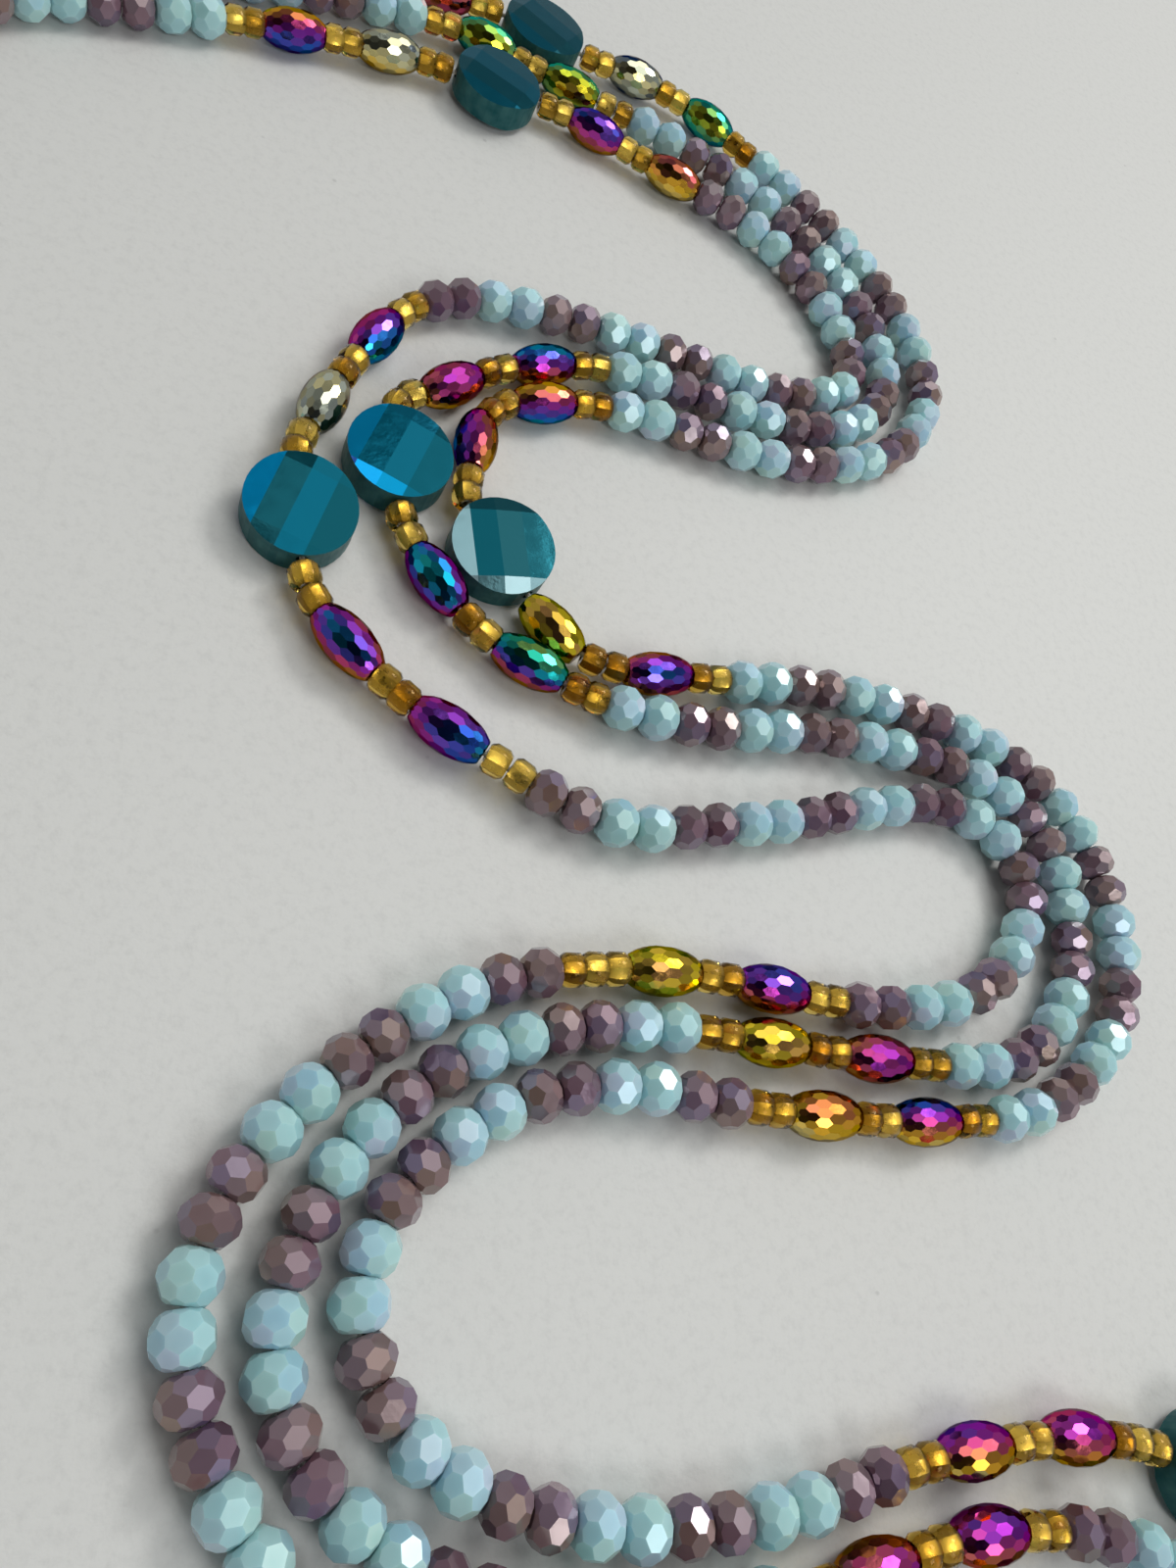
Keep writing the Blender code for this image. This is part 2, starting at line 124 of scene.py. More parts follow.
rowRoutes = {
    "inner_strand_1": [
        (-97.5, 14), (-97.5, 42), (-97, 62), (-92.5, 80), (-85.5, 92.5), (-76.5, 100),
        (-67, 104.3), (-55, 109.4), (-46.5, 112.4), (-35, 115.6), (-27, 117.4),
    ],
    "inner_strand_2": [
        (-4, 118.6), (2, 117.2), (15, 113.7), (24.5, 111.4), (32.5, 107.4), (39.5, 101.6),
        (44.3, 94), (46.7, 86), (44.8, 79), (38.7, 75.3), (30, 73.4), (16, 73.8), (2, 74),
        (-9, 73.2), (-18.5, 71), (-25.5, 66.4), (-29.8, 59.6), (-33.2, 52.4), (-36, 44.8),
    ],
    "inner_strand_3": [
        (-33.6, 16.2), (-29.1, 11.6), (-23.3, 6.8), (-17, 3.4), (-10, 0), (-3, -3), (6, -4.5),
        (15, -2.8), (28, 0.2), (42, 4.6), (52.5, 6.7), (58.8, 5.5), (63.3, 2.2), (65.3, -3),
        (63.7, -9.2), (59.3, -15.5), (52.5, -20), (43, -22.3), (30, -22.6), (16, -21.6),
        (1, -22.4), (-9, -24.5), (-19.8, -30.2), (-30, -39.4), (-36.1, -48.8), (-37.5, -58),
        (-34.8, -67), (-29.6, -75), (-21.5, -82.3), (-8, -88),
    ],
    "inner_strand_4": [
        (30, -90.5), (60, -91.3), (80, -92.2), (90, -93.2), (97, -97), (99.3, -103.2),
        (96.5, -109.7), (88, -113.5), (60, -113.5), (30, -113.5),
    ],
    "inner_strand_5": [
        (-20, -113.5), (-50, -113.5), (-80, -113), (-92.4, -107.5), (-97.5, -95), (-97.5, -65),
        (-97.5, -35),
    ],
    "middle_strand_1": [
        (-105, 14), (-105, 42), (-104.3, 66), (-99, 86), (-89.5, 99.5), (-77, 108.7),
        (-64, 115.2), (-50, 121), (-36.8, 125.5), (-28, 127.7), (-19.5, 128.5), (-11.8, 127.1),
        (-3.5, 125.8), (9.8, 123.6), (20, 121.3), (28.5, 118.4), (36.5, 113.9), (43.8, 107.6),
        (49.7, 99.6), (52.9, 91), (53.3, 83.2), (49.8, 75.6), (44.5, 70.7), (36, 67.7), (24, 66.8),
        (10, 67.3), (0, 65.9), (-7, 63.3), (-13.5, 59.7), (-19.4, 54.9),
    ],
    "middle_strand_2": [
        (-22.8, 27.6), (-19.2, 22.8), (-14.2, 17.8), (-7, 14.5), (0, 12.1), (9, 11),
        (18.5, 11.4), (32, 13.6), (46, 14.1), (57.5, 12.9), (66.3, 8.9), (71.3, 2.7),
        (72.3, -6), (71, -14.8), (66.2, -22.3), (59.3, -27.2), (50, -28.8), (36.5, -29),
        (22, -28.4), (7, -28.1), (-5, -30), (-16, -35.1), (-24, -42.6), (-28.9, -52.5),
        (-29.7, -61), (-26, -69), (-18.5, -75.4), (-6, -80.3), (8, -81.6),
    ],
    "middle_strand_3": [
        (29.5, -79.8), (44, -77.5), (56, -77.6), (65, -79.3), (75, -83.9), (88, -85.6),
        (102, -90.5), (108, -104.5), (102, -118.5), (88, -124.5), (60, -124.5),
    ],
    "middle_strand_4": [
        (0, -124.5), (-30, -124.5), (-60, -124.5), (-83, -123), (-99, -113), (-105, -95),
        (-105, -65), (-105, -35),
    ],
    "outer_strand_1": [
        (-112.5, 14), (-112.5, 42), (-112, 68), (-107, 90), (-97, 105.5), (-84, 116.5),
        (-68, 125), (-50, 130.8), (-35, 134), (-24, 135.9),
    ],
    "outer_strand_2": [
        (8.4, 135.5), (17, 134), (23.2, 131.4), (30.5, 127.1), (38.3, 122.2), (46.8, 115.4),
        (53.5, 108.2), (58.6, 99.9), (61.5, 91), (61.7, 83), (58.6, 75.8), (52.8, 68.5),
        (44, 63.3), (33.5, 60), (20, 59.2), (8, 59.8), (0, 58.7), (-6, 56.8), (-12, 54.2),
        (-15.1, 50.2), (-16.1, 43),
    ],
    "outer_strand_3": [
        (-4.6, 20.2), (0, 17.4), (5.5, 16.9), (12.5, 17.8), (22, 19.1), (33, 20.9), (47, 20.8),
        (58, 19.2), (67.4, 15.9), (75.5, 9), (79.9, 0), (80.5, -9.5), (77.6, -20), (70.5, -27.9),
        (60.2, -33.7), (48, -35.6), (32, -36.2), (17, -35.7), (4.5, -34.8), (-6, -36.8),
        (-14.3, -41.5), (-20.6, -48.5), (-22.4, -57.5), (-18.8, -65.4), (-10.5, -71.4),
        (0, -74.3), (12, -75), (22.5, -74), (34, -71.4), (46, -69.7), (60, -69),
    ],
    "outer_strand_4": [
        (92, -78), (104, -84.5), (114, -95), (118, -108), (114, -121), (104, -131),
        (90, -135.2), (60, -135.5), (30, -135.5),
    ],
    "outer_strand_5": [
        (-40, -135.5), (-62, -135.4), (-82, -133), (-99, -125), (-109.5, -111), (-112.5, -92),
        (-112.5, -62), (-112.5, -35),
    ],
}

# Each stretch: s a seed bead, o an oval bead, a dash bare thread, and 26a or 26m
# a run of 26 rondelles in pairs that starts with aqua or mauve.
stretches = [
    ("inner_strand_1", "clasp:-1", "sssss 26a ssossoss", "inner_coin_1"),
    ("inner_strand_2", "inner_coin_1", "ssosso 26m ssosso-ss", "inner_coin_2"),
    ("inner_strand_3", "inner_coin_2", "-s-sosso-s-s 26m ssossosss 26m", "joint:16,-90,0"),
    ("inner_strand_4", "joint:16,-90,0", "ssossoss 26m ssossoss", "inner_coin_3"),
    ("inner_strand_5", "inner_coin_3", "ssossoss 26a ssoss", "clasp:-1"),
    ("middle_strand_1", "clasp:0", "ssossossosss 26a----- ssosso-s-s 26a---- sso-ss-o-ss", "middle_coin_1"),
    ("middle_strand_2", "middle_coin_1", "s-so-sso-ss 26a ssossoss 26a", "joint:21,-81.2,3"),
    ("middle_strand_3", "joint:21,-81.2,3", "ssossoss 26m ssossoss", "middle_coin_2"),
    ("middle_strand_4", "middle_coin_2", "ssossoss 26a ssossossossssss", "clasp:0"),
    ("outer_strand_1", "clasp:1", "ssossossoss 26m ssossoss", "outer_coin_1"),
    ("outer_strand_2", "outer_coin_1", "ssossoss 26a ssos-so-ss", "outer_coin_2"),
    ("outer_strand_3", "outer_coin_2", "o-s-soss 26a ssossoss 26m ssossosss", "outer_coin_3"),
    ("outer_strand_4", "outer_coin_3", "ssossoss 26m ssossoss", "outer_coin_4"),
    ("outer_strand_5", "outer_coin_4", "ssossoss 26a ssossoss", "clasp:1"),
]
partKinds = {"s": "seed", "o": "oval", "-": "bare"}


def headingVector(degrees):
    return Vector((math.cos(math.radians(degrees)), math.sin(math.radians(degrees)), 0))


def tablePoint(x, y):
    return Vector((x * rowLayout["millimetre"] + rowLayout["shift"][0],
                   y * rowLayout["millimetre"] + rowLayout["shift"][1],
                   rowLayout["axisHeight"]))


# Where a stretch starts or stops, its heading there, and whether its thread runs on
# into a coin or the clasp. A joint lies between two stretches of one string.
def stretchEnd(holder, leaving):
    side = 1 if leaving else -1
    kind, _, words = holder.partition(":")
    row, reach = 0, rowLayout["beadGap"]
    if kind == "joint":
        x, y, degrees = [float(word) for word in words.split(",")]
        reach /= 2
    elif kind == "clasp":
        x, y, degrees = claspPlace
        row = int(words)
        reach += rowLayout["claspLength"] / 2
    else:
        x, y, degrees = coinPlaces[holder]
        reach += rowLayout["coinDiameter"] / 2
    heading = headingVector(degrees)
    across = Vector((-heading.y, heading.x, 0)) * row * rowLayout["claspSpacing"]
    return tablePoint(x, y) + across + heading * side * reach, heading, kind != "joint"


def smoothRoute(points, firstHeading, lastHeading):
    slopes = [firstHeading.copy()]
    for before, point, after in zip(points, points[1:], points[2:]):
        arriving, leaving = point - before, after - point
        weight = arriving.length / (arriving.length + leaving.length)
        slopes.append(arriving.normalized() * (1 - weight) + leaving.normalized() * weight)
    slopes.append(lastHeading.copy())
    fine = [points[0].copy()]
    for index in range(len(points) - 1):
        chord = (points[index + 1] - points[index]).length
        pieces = max(rowLayout["fewestSteps"], int(chord / rowLayout["finestStep"]))
        for piece in range(1, pieces + 1):
            t = piece / pieces
            fine.append(points[index] * (2 * t ** 3 - 3 * t ** 2 + 1)
                        + slopes[index] * chord * (t ** 3 - 2 * t ** 2 + t)
                        + points[index + 1] * (3 * t ** 2 - 2 * t ** 3)
                        + slopes[index + 1] * chord * (t ** 3 - t ** 2))
    marks = [0.0]
    for before, after in zip(fine, fine[1:]):
        marks.append(marks[-1] + (after - before).length)
    return {"fine": fine, "marks": marks, "length": marks[-1]}


def routeAt(route, distance):
    marks, fine = route["marks"], route["fine"]
    low, high = 0, len(marks) - 1
    while high - low > 1:
        middle = (low + high) // 2
        if marks[middle] <= distance:
            low = middle
        else:
            high = middle
    share = (distance - marks[low]) / (marks[high] - marks[low])
    before, after = fine[max(low - 1, 0)], fine[min(high + 1, len(fine) - 1)]
    return fine[low].lerp(fine[high], share), (after - before).normalized()


def runCount(word):
    return int(word.strip("-am")) if word[0].isdigit() else 0


def fixedLength(word):
    letters = "-" * word.count("-") if runCount(word) else word
    return sum(rowLayout[partKinds[letter] + "Length"] for letter in letters)


# The kinds and lengths along a stretch. Rondelles share what the other beads leave.
def measureParts(pattern, wholeLength):
    words = pattern.split()
    spare = wholeLength - sum(fixedLength(word) for word in words)
    pitch = spare / sum(runCount(word) for word in words)
    bare = rowLayout["bareLength"] * rowLayout["dashBare"]
    parts = []
    for word in words:
        count = runCount(word)
        if count:
            order = ("aqua", "mauve") if "a" in word else ("mauve", "aqua")
            kinds = [order[index // 2 % 2] for index in range(count)]
            weights = [rowLayout[kind + "Pitch"] for kind in kinds]
            room = pitch * count + fixedLength(word)
            parts += [(kind, room * weight / sum(weights)) for kind, weight in zip(kinds, weights)]
            continue
        stretch = (fixedLength(word) - bare * word.count("-")) / fixedLength(word.replace("-", ""))
        for kind in [partKinds[letter] for letter in word]:
            parts.append((kind, bare if kind == "bare" else rowLayout[kind + "Length"] * stretch))
    return parts


def threadBeads(name, route, pattern):
    beads, distance = [], 0.0
    for kind, length in measureParts(pattern, route["length"]):
        if kind != "bare":
            place, along = routeAt(route, distance + length / 2)
            beads.append({"kind": kind, "strand": name, "length": length, "place": place, "along": along})
        distance += length
    return beads


allBeads, threadLines = [], []
for strandName, startHolder, beadPattern, stopHolder in stretches:
    startPoint, startHeading, startThread = stretchEnd(startHolder, True)
    stopPoint, stopHeading, stopThread = stretchEnd(stopHolder, False)
    routePoints = [startPoint] + [tablePoint(x, y) for x, y in rowRoutes[strandName]] + [stopPoint]
    strandRoute = smoothRoute(routePoints, startHeading, stopHeading)
    allBeads += threadBeads(strandName, strandRoute, beadPattern)
    threadLine = list(strandRoute["fine"])
    if startThread:
        threadLine.insert(0, startPoint - startHeading * rowLayout["threadReach"])
    if stopThread:
        threadLine.append(stopPoint + stopHeading * rowLayout["threadReach"])
    threadLines.append(threadLine)
print("beads strung:", {kind: sum(bead["kind"] == kind for bead in allBeads)
                        for kind in ("aqua", "mauve", "seed", "oval")})


# Node helpers. A value that is another node's socket is joined, any other is set.
# Nodes stand in a row, in the order in which they are made.
nodeStep = 220


def feed(tree, node, values):
    for key, value in values.items():
        if isinstance(value, bpy.types.NodeSocket):
            tree.links.new(value, node.inputs[key])
        else:
            node.inputs[key].default_value = value


def putNode(tree, kind, values=None, **settings):
    node = tree.nodes.new(kind)
    node.location.x = nodeStep * len(tree.nodes)
    for key, value in settings.items():
        setattr(node, key, value)
    feed(tree, node, values or {})
    return node


def readPlace(tree, output="Object"):
    return putNode(tree, "ShaderNodeTexCoord").outputs[output]


def readAttribute(tree, name, output="Fac"):
    return putNode(tree, "ShaderNodeAttribute", attribute_name=name).outputs[output]


def splitAxes(tree, vector):
    return putNode(tree, "ShaderNodeSeparateXYZ", {"Vector": vector}).outputs


def putMath(tree, operation, *terms):
    return putNode(tree, "ShaderNodeMath", dict(enumerate(terms)), operation=operation).outputs[0]


def putDot(tree, first, second):
    return putNode(tree, "ShaderNodeVectorMath", {0: first, 1: second},
                   operation="DOT_PRODUCT").outputs["Value"]


def putScale(tree, vector, share):
    return putNode(tree, "ShaderNodeVectorMath", {"Vector": vector, "Scale": share},
                   operation="SCALE").outputs["Vector"]


def putNoise(tree, place, scale, detail, roughness=0.5):
    values = {"Vector": place, "Scale": scale, "Detail": detail, "Roughness": roughness}
    return putNode(tree, "ShaderNodeTexNoise", values).outputs["Fac"]


def putRange(tree, value, taken=(0.0, 1.0), given=(0.0, 1.0), **settings):
    values = {"Value": value, "From Min": taken[0], "From Max": taken[1],
              "To Min": given[0], "To Max": given[1]}
    return putNode(tree, "ShaderNodeMapRange", values, **settings).outputs["Result"]


def putRamp(tree, factor, stops):
    node = putNode(tree, "ShaderNodeValToRGB", {"Fac": factor})
    ramp = node.color_ramp
    while len(ramp.elements) > 1:
        ramp.elements.remove(ramp.elements[-1])
    for index, (place, colour) in enumerate(stops):
        element = ramp.elements.new(place) if index else ramp.elements[0]
        element.position = place
        element.color = (*colour, 1)
    return node.outputs["Color"]


def putMix(tree, share, first, second):
    return putNode(tree, "ShaderNodeMix", {0: share, "A": first, "B": second},
                   data_type="RGBA").outputs["Result"]


def putBump(tree, height, values):
    return putNode(tree, "ShaderNodeBump", {**values, "Height": height}).outputs["Normal"]


def putGroup(tree, group, values):
    return putNode(tree, "ShaderNodeGroup", values, node_tree=group).outputs[0]


def openGroup(name, entries, exits, kind="ShaderNodeTree"):
    tree = bpy.data.node_groups.new(name, kind)
    for label, socketKind, value in entries:
        socket = tree.interface.new_socket(label, in_out="INPUT", socket_type="NodeSocket" + socketKind)
        if value is not None:
            socket.default_value = value
    for label, socketKind in exits:
        tree.interface.new_socket(label, in_out="OUTPUT", socket_type="NodeSocket" + socketKind)
    entry = putNode(tree, "NodeGroupInput").outputs
    return tree, entry, putNode(tree, "NodeGroupOutput")


# Shared effects, each a shader group that puts out one mask, value or colour.
def makeHandlingGroup():
    tree, entry, leave = openGroup(
        "handlingMarks",
        [("Scale", "Float", 600.0), ("Smudge", "Float", 0.10), ("Base Roughness", "Float", 0.10)],
        [("Roughness", "Float")])
    broad = putNoise(tree, readPlace(tree), entry["Scale"], detail=3.0, roughness=0.6)
    smear = putRange(tree, broad, taken=(0.42, 0.72))
    weighed = putMath(tree, "MULTIPLY", smear, entry["Smudge"])
    total = putMath(tree, "ADD", weighed, entry["Base Roughness"])
    feed(tree, leave, {"Roughness": total})
    return tree


def makeFacetGroup():
    tree, entry, leave = openGroup(
        "facetVariation",
        [("Facet Share", "Float", 0.5), ("Bead Share", "Float", 0.3),
         ("Cloud Share", "Float", 0.2), ("Cloud Scale", "Float", 500.0)],
        [("Factor", "Float")])
    cloud = putNoise(tree, readPlace(tree), entry["Cloud Scale"], detail=2.0, roughness=0.55)
    total = 0.0
    for label, value in (("Facet Share", readAttribute(tree, "facetChance")),
                         ("Bead Share", readAttribute(tree, "beadChance")), ("Cloud Share", cloud)):
        total = putMath(tree, "MULTIPLY_ADD", value, entry[label], total)
    feed(tree, leave, {"Factor": total})
    return tree


filmStops = [
    (0.00, (0.04, 0.10, 0.24)), (0.05, (0.62, 0.66, 0.52)), (0.12, (0.80, 0.68, 0.28)),
    (0.20, (0.84, 0.51, 0.03)), (0.28, (0.66, 0.23, 0.06)), (0.36, (0.62, 0.07, 0.22)),
    (0.44, (0.31, 0.03, 0.42)), (0.53, (0.03, 0.10, 0.56)), (0.62, (0.01, 0.41, 0.54)),
    (0.71, (0.03, 0.50, 0.30)), (0.80, (0.34, 0.48, 0.04)), (0.89, (0.82, 0.62, 0.03)),
    (1.00, (0.76, 0.24, 0.20)),
]


def makeFilmGroup():
    tree, entry, leave = openGroup("filmColour", [("Order", "Float", 0.3)], [("Color", "Color")])
    feed(tree, leave, {"Color": putRamp(tree, entry["Order"], filmStops)})
    return tree


def makeRippleGroup():
    tree, entry, leave = openGroup(
        "glassRipple",
        [("Scale", "Float", 400.0), ("Pit Scale", "Float", 2500.0), ("Pit Share", "Float", 0.2)],
        [("Height", "Float")])
    place = readPlace(tree)
    wave = putNoise(tree, place, entry["Scale"], detail=2.0, roughness=0.4)
    pit = putNoise(tree, place, entry["Pit Scale"], detail=1.0)
    feed(tree, leave, {"Height": putMath(tree, "MULTIPLY_ADD", pit, entry["Pit Share"], wave)})
    return tree


handlingMarks = makeHandlingGroup()
facetVariation = makeFacetGroup()
filmColour = makeFilmGroup()
glassRipple = makeRippleGroup()
print("shared effects made")


def openMaterial(name, values):
    material = bpy.data.materials.new(name)
    material.use_nodes = True
    tree = material.node_tree
    shader = tree.nodes["Principled BSDF"]
    feed(tree, shader, values)
    return material, tree, shader


def putWear(tree, look):
    ripple = putGroup(tree, glassRipple, look["ripple"])
    return {"Roughness": putGroup(tree, handlingMarks, look["marks"]),
            "Normal": putBump(tree, ripple, look["bump"])}


# Rondelles: milky cut glass with a thin lustre on the end that was coated.
rondelleLook = {
    "shader": {"Coat Weight": 0.30, "Coat Roughness": 0.04, "Coat IOR": 1.5,
               "Subsurface Radius": (0.9, 1.0, 1.0), "Subsurface Scale": 0.0018},
    "vary": {"Bead Share": 0.25, "Cloud Share": 0.30, "Cloud Scale": 350.0},
    "bodyStops": (0.15, 0.50, 0.95),
    "coated": (-0.25, 0.55),                # how far a facet faces the coated end, for least and most lustre
    "filmTurn": 0.35,                       # what the lustre's order gains over the girth
    "leastColour": 0.5, "leastMetal": 0.6,  # shares of the lustre on the other end
    "ripple": {"Scale": 500.0, "Pit Scale": 4000.0, "Pit Share": 0.15},
    "bump": {"Strength": 0.12, "Distance": 0.0002},
}
aquaLook = {
    "body": [(0.275, 0.490, 0.525), (0.360, 0.590, 0.625), (0.480, 0.690, 0.715)],
    "lustre": [(0.0, (0.40, 0.68, 0.74)), (0.35, (0.54, 0.76, 0.66)), (0.6, (0.36, 0.58, 0.78)),
               (0.8, (0.62, 0.62, 0.78)), (1.0, (0.42, 0.74, 0.76))],
    "lustreMetal": 0.10, "lustreColour": 0.60, "facetShare": 0.16,
    "shader": {"IOR": 1.56, "Subsurface Weight": 0.85},
    "marks": {"Scale": 700.0, "Smudge": 0.07, "Base Roughness": 0.19},
}
mauveLook = {
    "body": [(0.045, 0.010, 0.016), (0.108, 0.046, 0.060), (0.190, 0.118, 0.140)],
    "lustre": [(0.0, (0.44, 0.38, 0.43)), (0.3, (0.68, 0.50, 0.34)), (0.55, (0.32, 0.34, 0.66)),
               (0.78, (0.50, 0.28, 0.40)), (1.0, (0.42, 0.40, 0.46))],
    "lustreMetal": 0.38, "lustreColour": 0.28, "facetShare": 0.70,
    "shader": {"IOR": 1.66, "Subsurface Weight": 0.10},
    "marks": {"Scale": 700.0, "Smudge": 0.10, "Base Roughness": 0.10},
}


def makeRondelleMaterial(name, ownLook):
    look = {**rondelleLook, **ownLook}
    material, tree, shader = openMaterial(name, {**rondelleLook["shader"], **ownLook["shader"]})
    vary = putGroup(tree, facetVariation, {**look["vary"], "Facet Share": look["facetShare"]})
    body = putRamp(tree, vary, zip(look["bodyStops"], look["body"]))
    turn = splitAxes(tree, readAttribute(tree, "facetTurn", "Vector"))
    start = readAttribute(tree, "filmStart")
    order = putMath(tree, "MULTIPLY_ADD", turn["Y"], look["filmTurn"], start)
    lustre = putRamp(tree, putMath(tree, "FRACT", order), look["lustre"])
    coated = putRange(tree, turn["X"], look["coated"])
    share = putRange(tree, coated, given=(look["leastColour"] * look["lustreColour"], look["lustreColour"]))
    metal = putRange(tree, coated, given=(look["leastMetal"] * look["lustreMetal"], look["lustreMetal"]))
    colour = putMix(tree, share, body, lustre)
    feed(tree, shader, {"Base Color": colour, "Metallic": metal, **putWear(tree, look)})
    return material


# Ovals: a mirror film whose colour runs over the girth, one colour to a facet, with random facets painted
# darker as painted shade.
filmValues = ("filmStart", "filmSpan", "filmBow", "filmAlong")
ovalLook = {
    "shader": {"Metallic": 1.0, "IOR": 1.6, "Specular Tint": (0.35, 0.30, 0.30, 1.0)},
    "vary": {"Facet Share": 1.0, "Bead Share": 0.0, "Cloud Share": 0.0},
    "facetShift": 0.07,                     # what the colour's order gains by chance
    "paintedFacetShade": 0.50,                     # how much darker a facet can get at random: painted shade in place of the dark room that the film mirrors
    "reshuffle": 7.3,                       # turns the first chance into another one, for the painted facet shade
    "marks": {"Scale": 900.0, "Smudge": 0.10, "Base Roughness": 0.08},
    "ripple": {"Scale": 700.0, "Pit Scale": 4000.0, "Pit Share": 0.10},
    "bump": {"Strength": 0.10, "Distance": 0.0001},
}


def makeOvalMaterial(look):
    material, tree, shader = openMaterial("rainbowGlass", look["shader"])
    turn = splitAxes(tree, readAttribute(tree, "facetTurn", "Vector"))
    start, span, bow, drift = [readAttribute(tree, label) for label in filmValues]
    girth = putMath(tree, "MULTIPLY_ADD", turn["Y"], span, start)
    squared = putMath(tree, "MULTIPLY", turn["Y"], turn["Y"])
    toRim = putMath(tree, "MULTIPLY_ADD", turn["X"], turn["X"], squared)
    curved = putMath(tree, "MULTIPLY_ADD", toRim, bow, girth)
    lengthwise = putMath(tree, "MULTIPLY_ADD", turn["X"], drift, curved)
    vary = putGroup(tree, facetVariation, look["vary"])
    order = putMath(tree, "MULTIPLY_ADD", vary, look["facetShift"], lengthwise)
    film = putGroup(tree, filmColour, {"Order": order})
    # Random facets are darkened: painted shade that stands in for dark reflections.
    chance = putMath(tree, "FRACT", putMath(tree, "MULTIPLY", vary, look["reshuffle"]))
    depth = putRange(tree, chance, given=(1.0 - look["paintedFacetShade"], 1.0))
    feed(tree, shader, {"Base Color": putScale(tree, film, depth), **putWear(tree, look)})
    return material


# Seed beads: clear amber glass round a gold lining.
seedLook = {
    "shader": {"Transmission Weight": 1.0, "IOR": 1.50, "Specular Tint": (0.55, 0.36, 0.12, 1.0)},
    "vary": {"Facet Share": 0.0, "Bead Share": 0.7, "Cloud Share": 0.3, "Cloud Scale": 400.0},
    "tints": [(0.0, (0.54, 0.27, 0.02)), (0.5, (0.76, 0.51, 0.09)), (1.0, (0.93, 0.74, 0.24))],
    "marks": {"Scale": 900.0, "Smudge": 0.04, "Base Roughness": 0.03},
    "ripple": {"Scale": 450.0, "Pit Scale": 3000.0, "Pit Share": 0.05},
    "bump": {"Strength": 0.10, "Distance": 0.0002},
}
liningLook = {
    "shader": {"Metallic": 0.9},
    "vary": {"Facet Share": 0.3, "Bead Share": 0.5, "Cloud Share": 0.3, "Cloud Scale": 900.0},
    "tints": [(0.2, (0.46, 0.31, 0.10)), (0.8, (0.92, 0.82, 0.50))],
    "marks": {"Scale": 1500.0, "Smudge": 0.3, "Base Roughness": 0.26},
    "ripple": {"Scale": 900.0, "Pit Scale": 4000.0, "Pit Share": 0.3},
    "bump": {"Strength": 0.15, "Distance": 0.0002},
}


def makeTintedMaterial(name, look):
    material, tree, shader = openMaterial(name, look["shader"])
    vary = putGroup(tree, facetVariation, look["vary"])
    feed(tree, shader, {"Base Color": putRamp(tree, vary, look["tints"]), **putWear(tree, look)})
    return material


threadLook = {
    "shader": {"Sheen Weight": 0.3, "Sheen Roughness": 0.5, "Subsurface Weight": 0.2,
               "Subsurface Radius": (1.0, 0.9, 0.8), "Subsurface Scale": 0.0004},
    # The darker tint sits low on the plies: painted shade in the grooves.
    "tints": [(0.0, (0.50, 0.47, 0.42)), (0.6, (0.80, 0.78, 0.72))],
    "twists": 3.0, "pitch": 0.0012,         # plies seen round the thread, and its length to a turn
    "marks": {"Scale": 1500.0, "Smudge": 0.2, "Base Roughness": 0.5},
    "bump": {"Strength": 0.6, "Distance": 0.0001},
}


def makeThreadMaterial(look):
    material, tree, shader = openMaterial("threadFibre", look["shader"])
    byRun = putMath(tree, "MULTIPLY", readAttribute(tree, "threadRun"), turnFull / look["pitch"])
    byRound = putMath(tree, "MULTIPLY", readAttribute(tree, "threadRound"), turnFull * look["twists"])
    ply = putMath(tree, "SINE", putMath(tree, "ADD", byRun, byRound))
    height = putRange(tree, ply, taken=(-1.0, 1.0))
    # The colour follows the plies' height, so the grooves are painted darker as painted shade.
    feed(tree, shader, {"Base Color": putRamp(tree, height, look["tints"]),
                        "Roughness": putGroup(tree, handlingMarks, look["marks"]),
                        "Normal": putBump(tree, height, look["bump"])})
    return material


coinLook = {
    "shader": {"IOR": 1.55, "Specular IOR Level": 0.05, "Subsurface Weight": 0.15,
               "Subsurface Radius": (0.6, 1.0, 1.0), "Subsurface Scale": 0.0015},
    # The bright blue near the ramp's start and its pale end are partly painted reflection and painted
    # highlight on the coin faces.
    "faceTints": [(0.0, (0.050, 0.095, 0.50)), (0.07, (0.001, 0.330, 0.68)), (0.22, (0.001, 0.115, 0.19)),
                  (0.50, (0.001, 0.062, 0.085)), (0.80, (0.022, 0.105, 0.120)), (0.92, (0.15, 0.27, 0.30)),
                  (1.0, (0.36, 0.54, 0.58))],
    "wallTints": [(0.25, (0.006, 0.070, 0.080)), (0.75, (0.050, 0.15, 0.15))],
    "facetShift": 0.08,
    "faceMetal": 0.60, "wallMetal": 0.20, "wallRoughness": 0.22,
    "vary": {"Facet Share": 0.1, "Bead Share": 0.1, "Cloud Share": 0.9, "Cloud Scale": 500.0},
    "marks": {"Scale": 400.0, "Smudge": 0.12, "Base Roughness": 0.09},
    "ripple": {"Scale": 350.0, "Pit Scale": 2500.0, "Pit Share": 0.15},
    "bump": {"Strength": 0.12, "Distance": 0.0003},
}


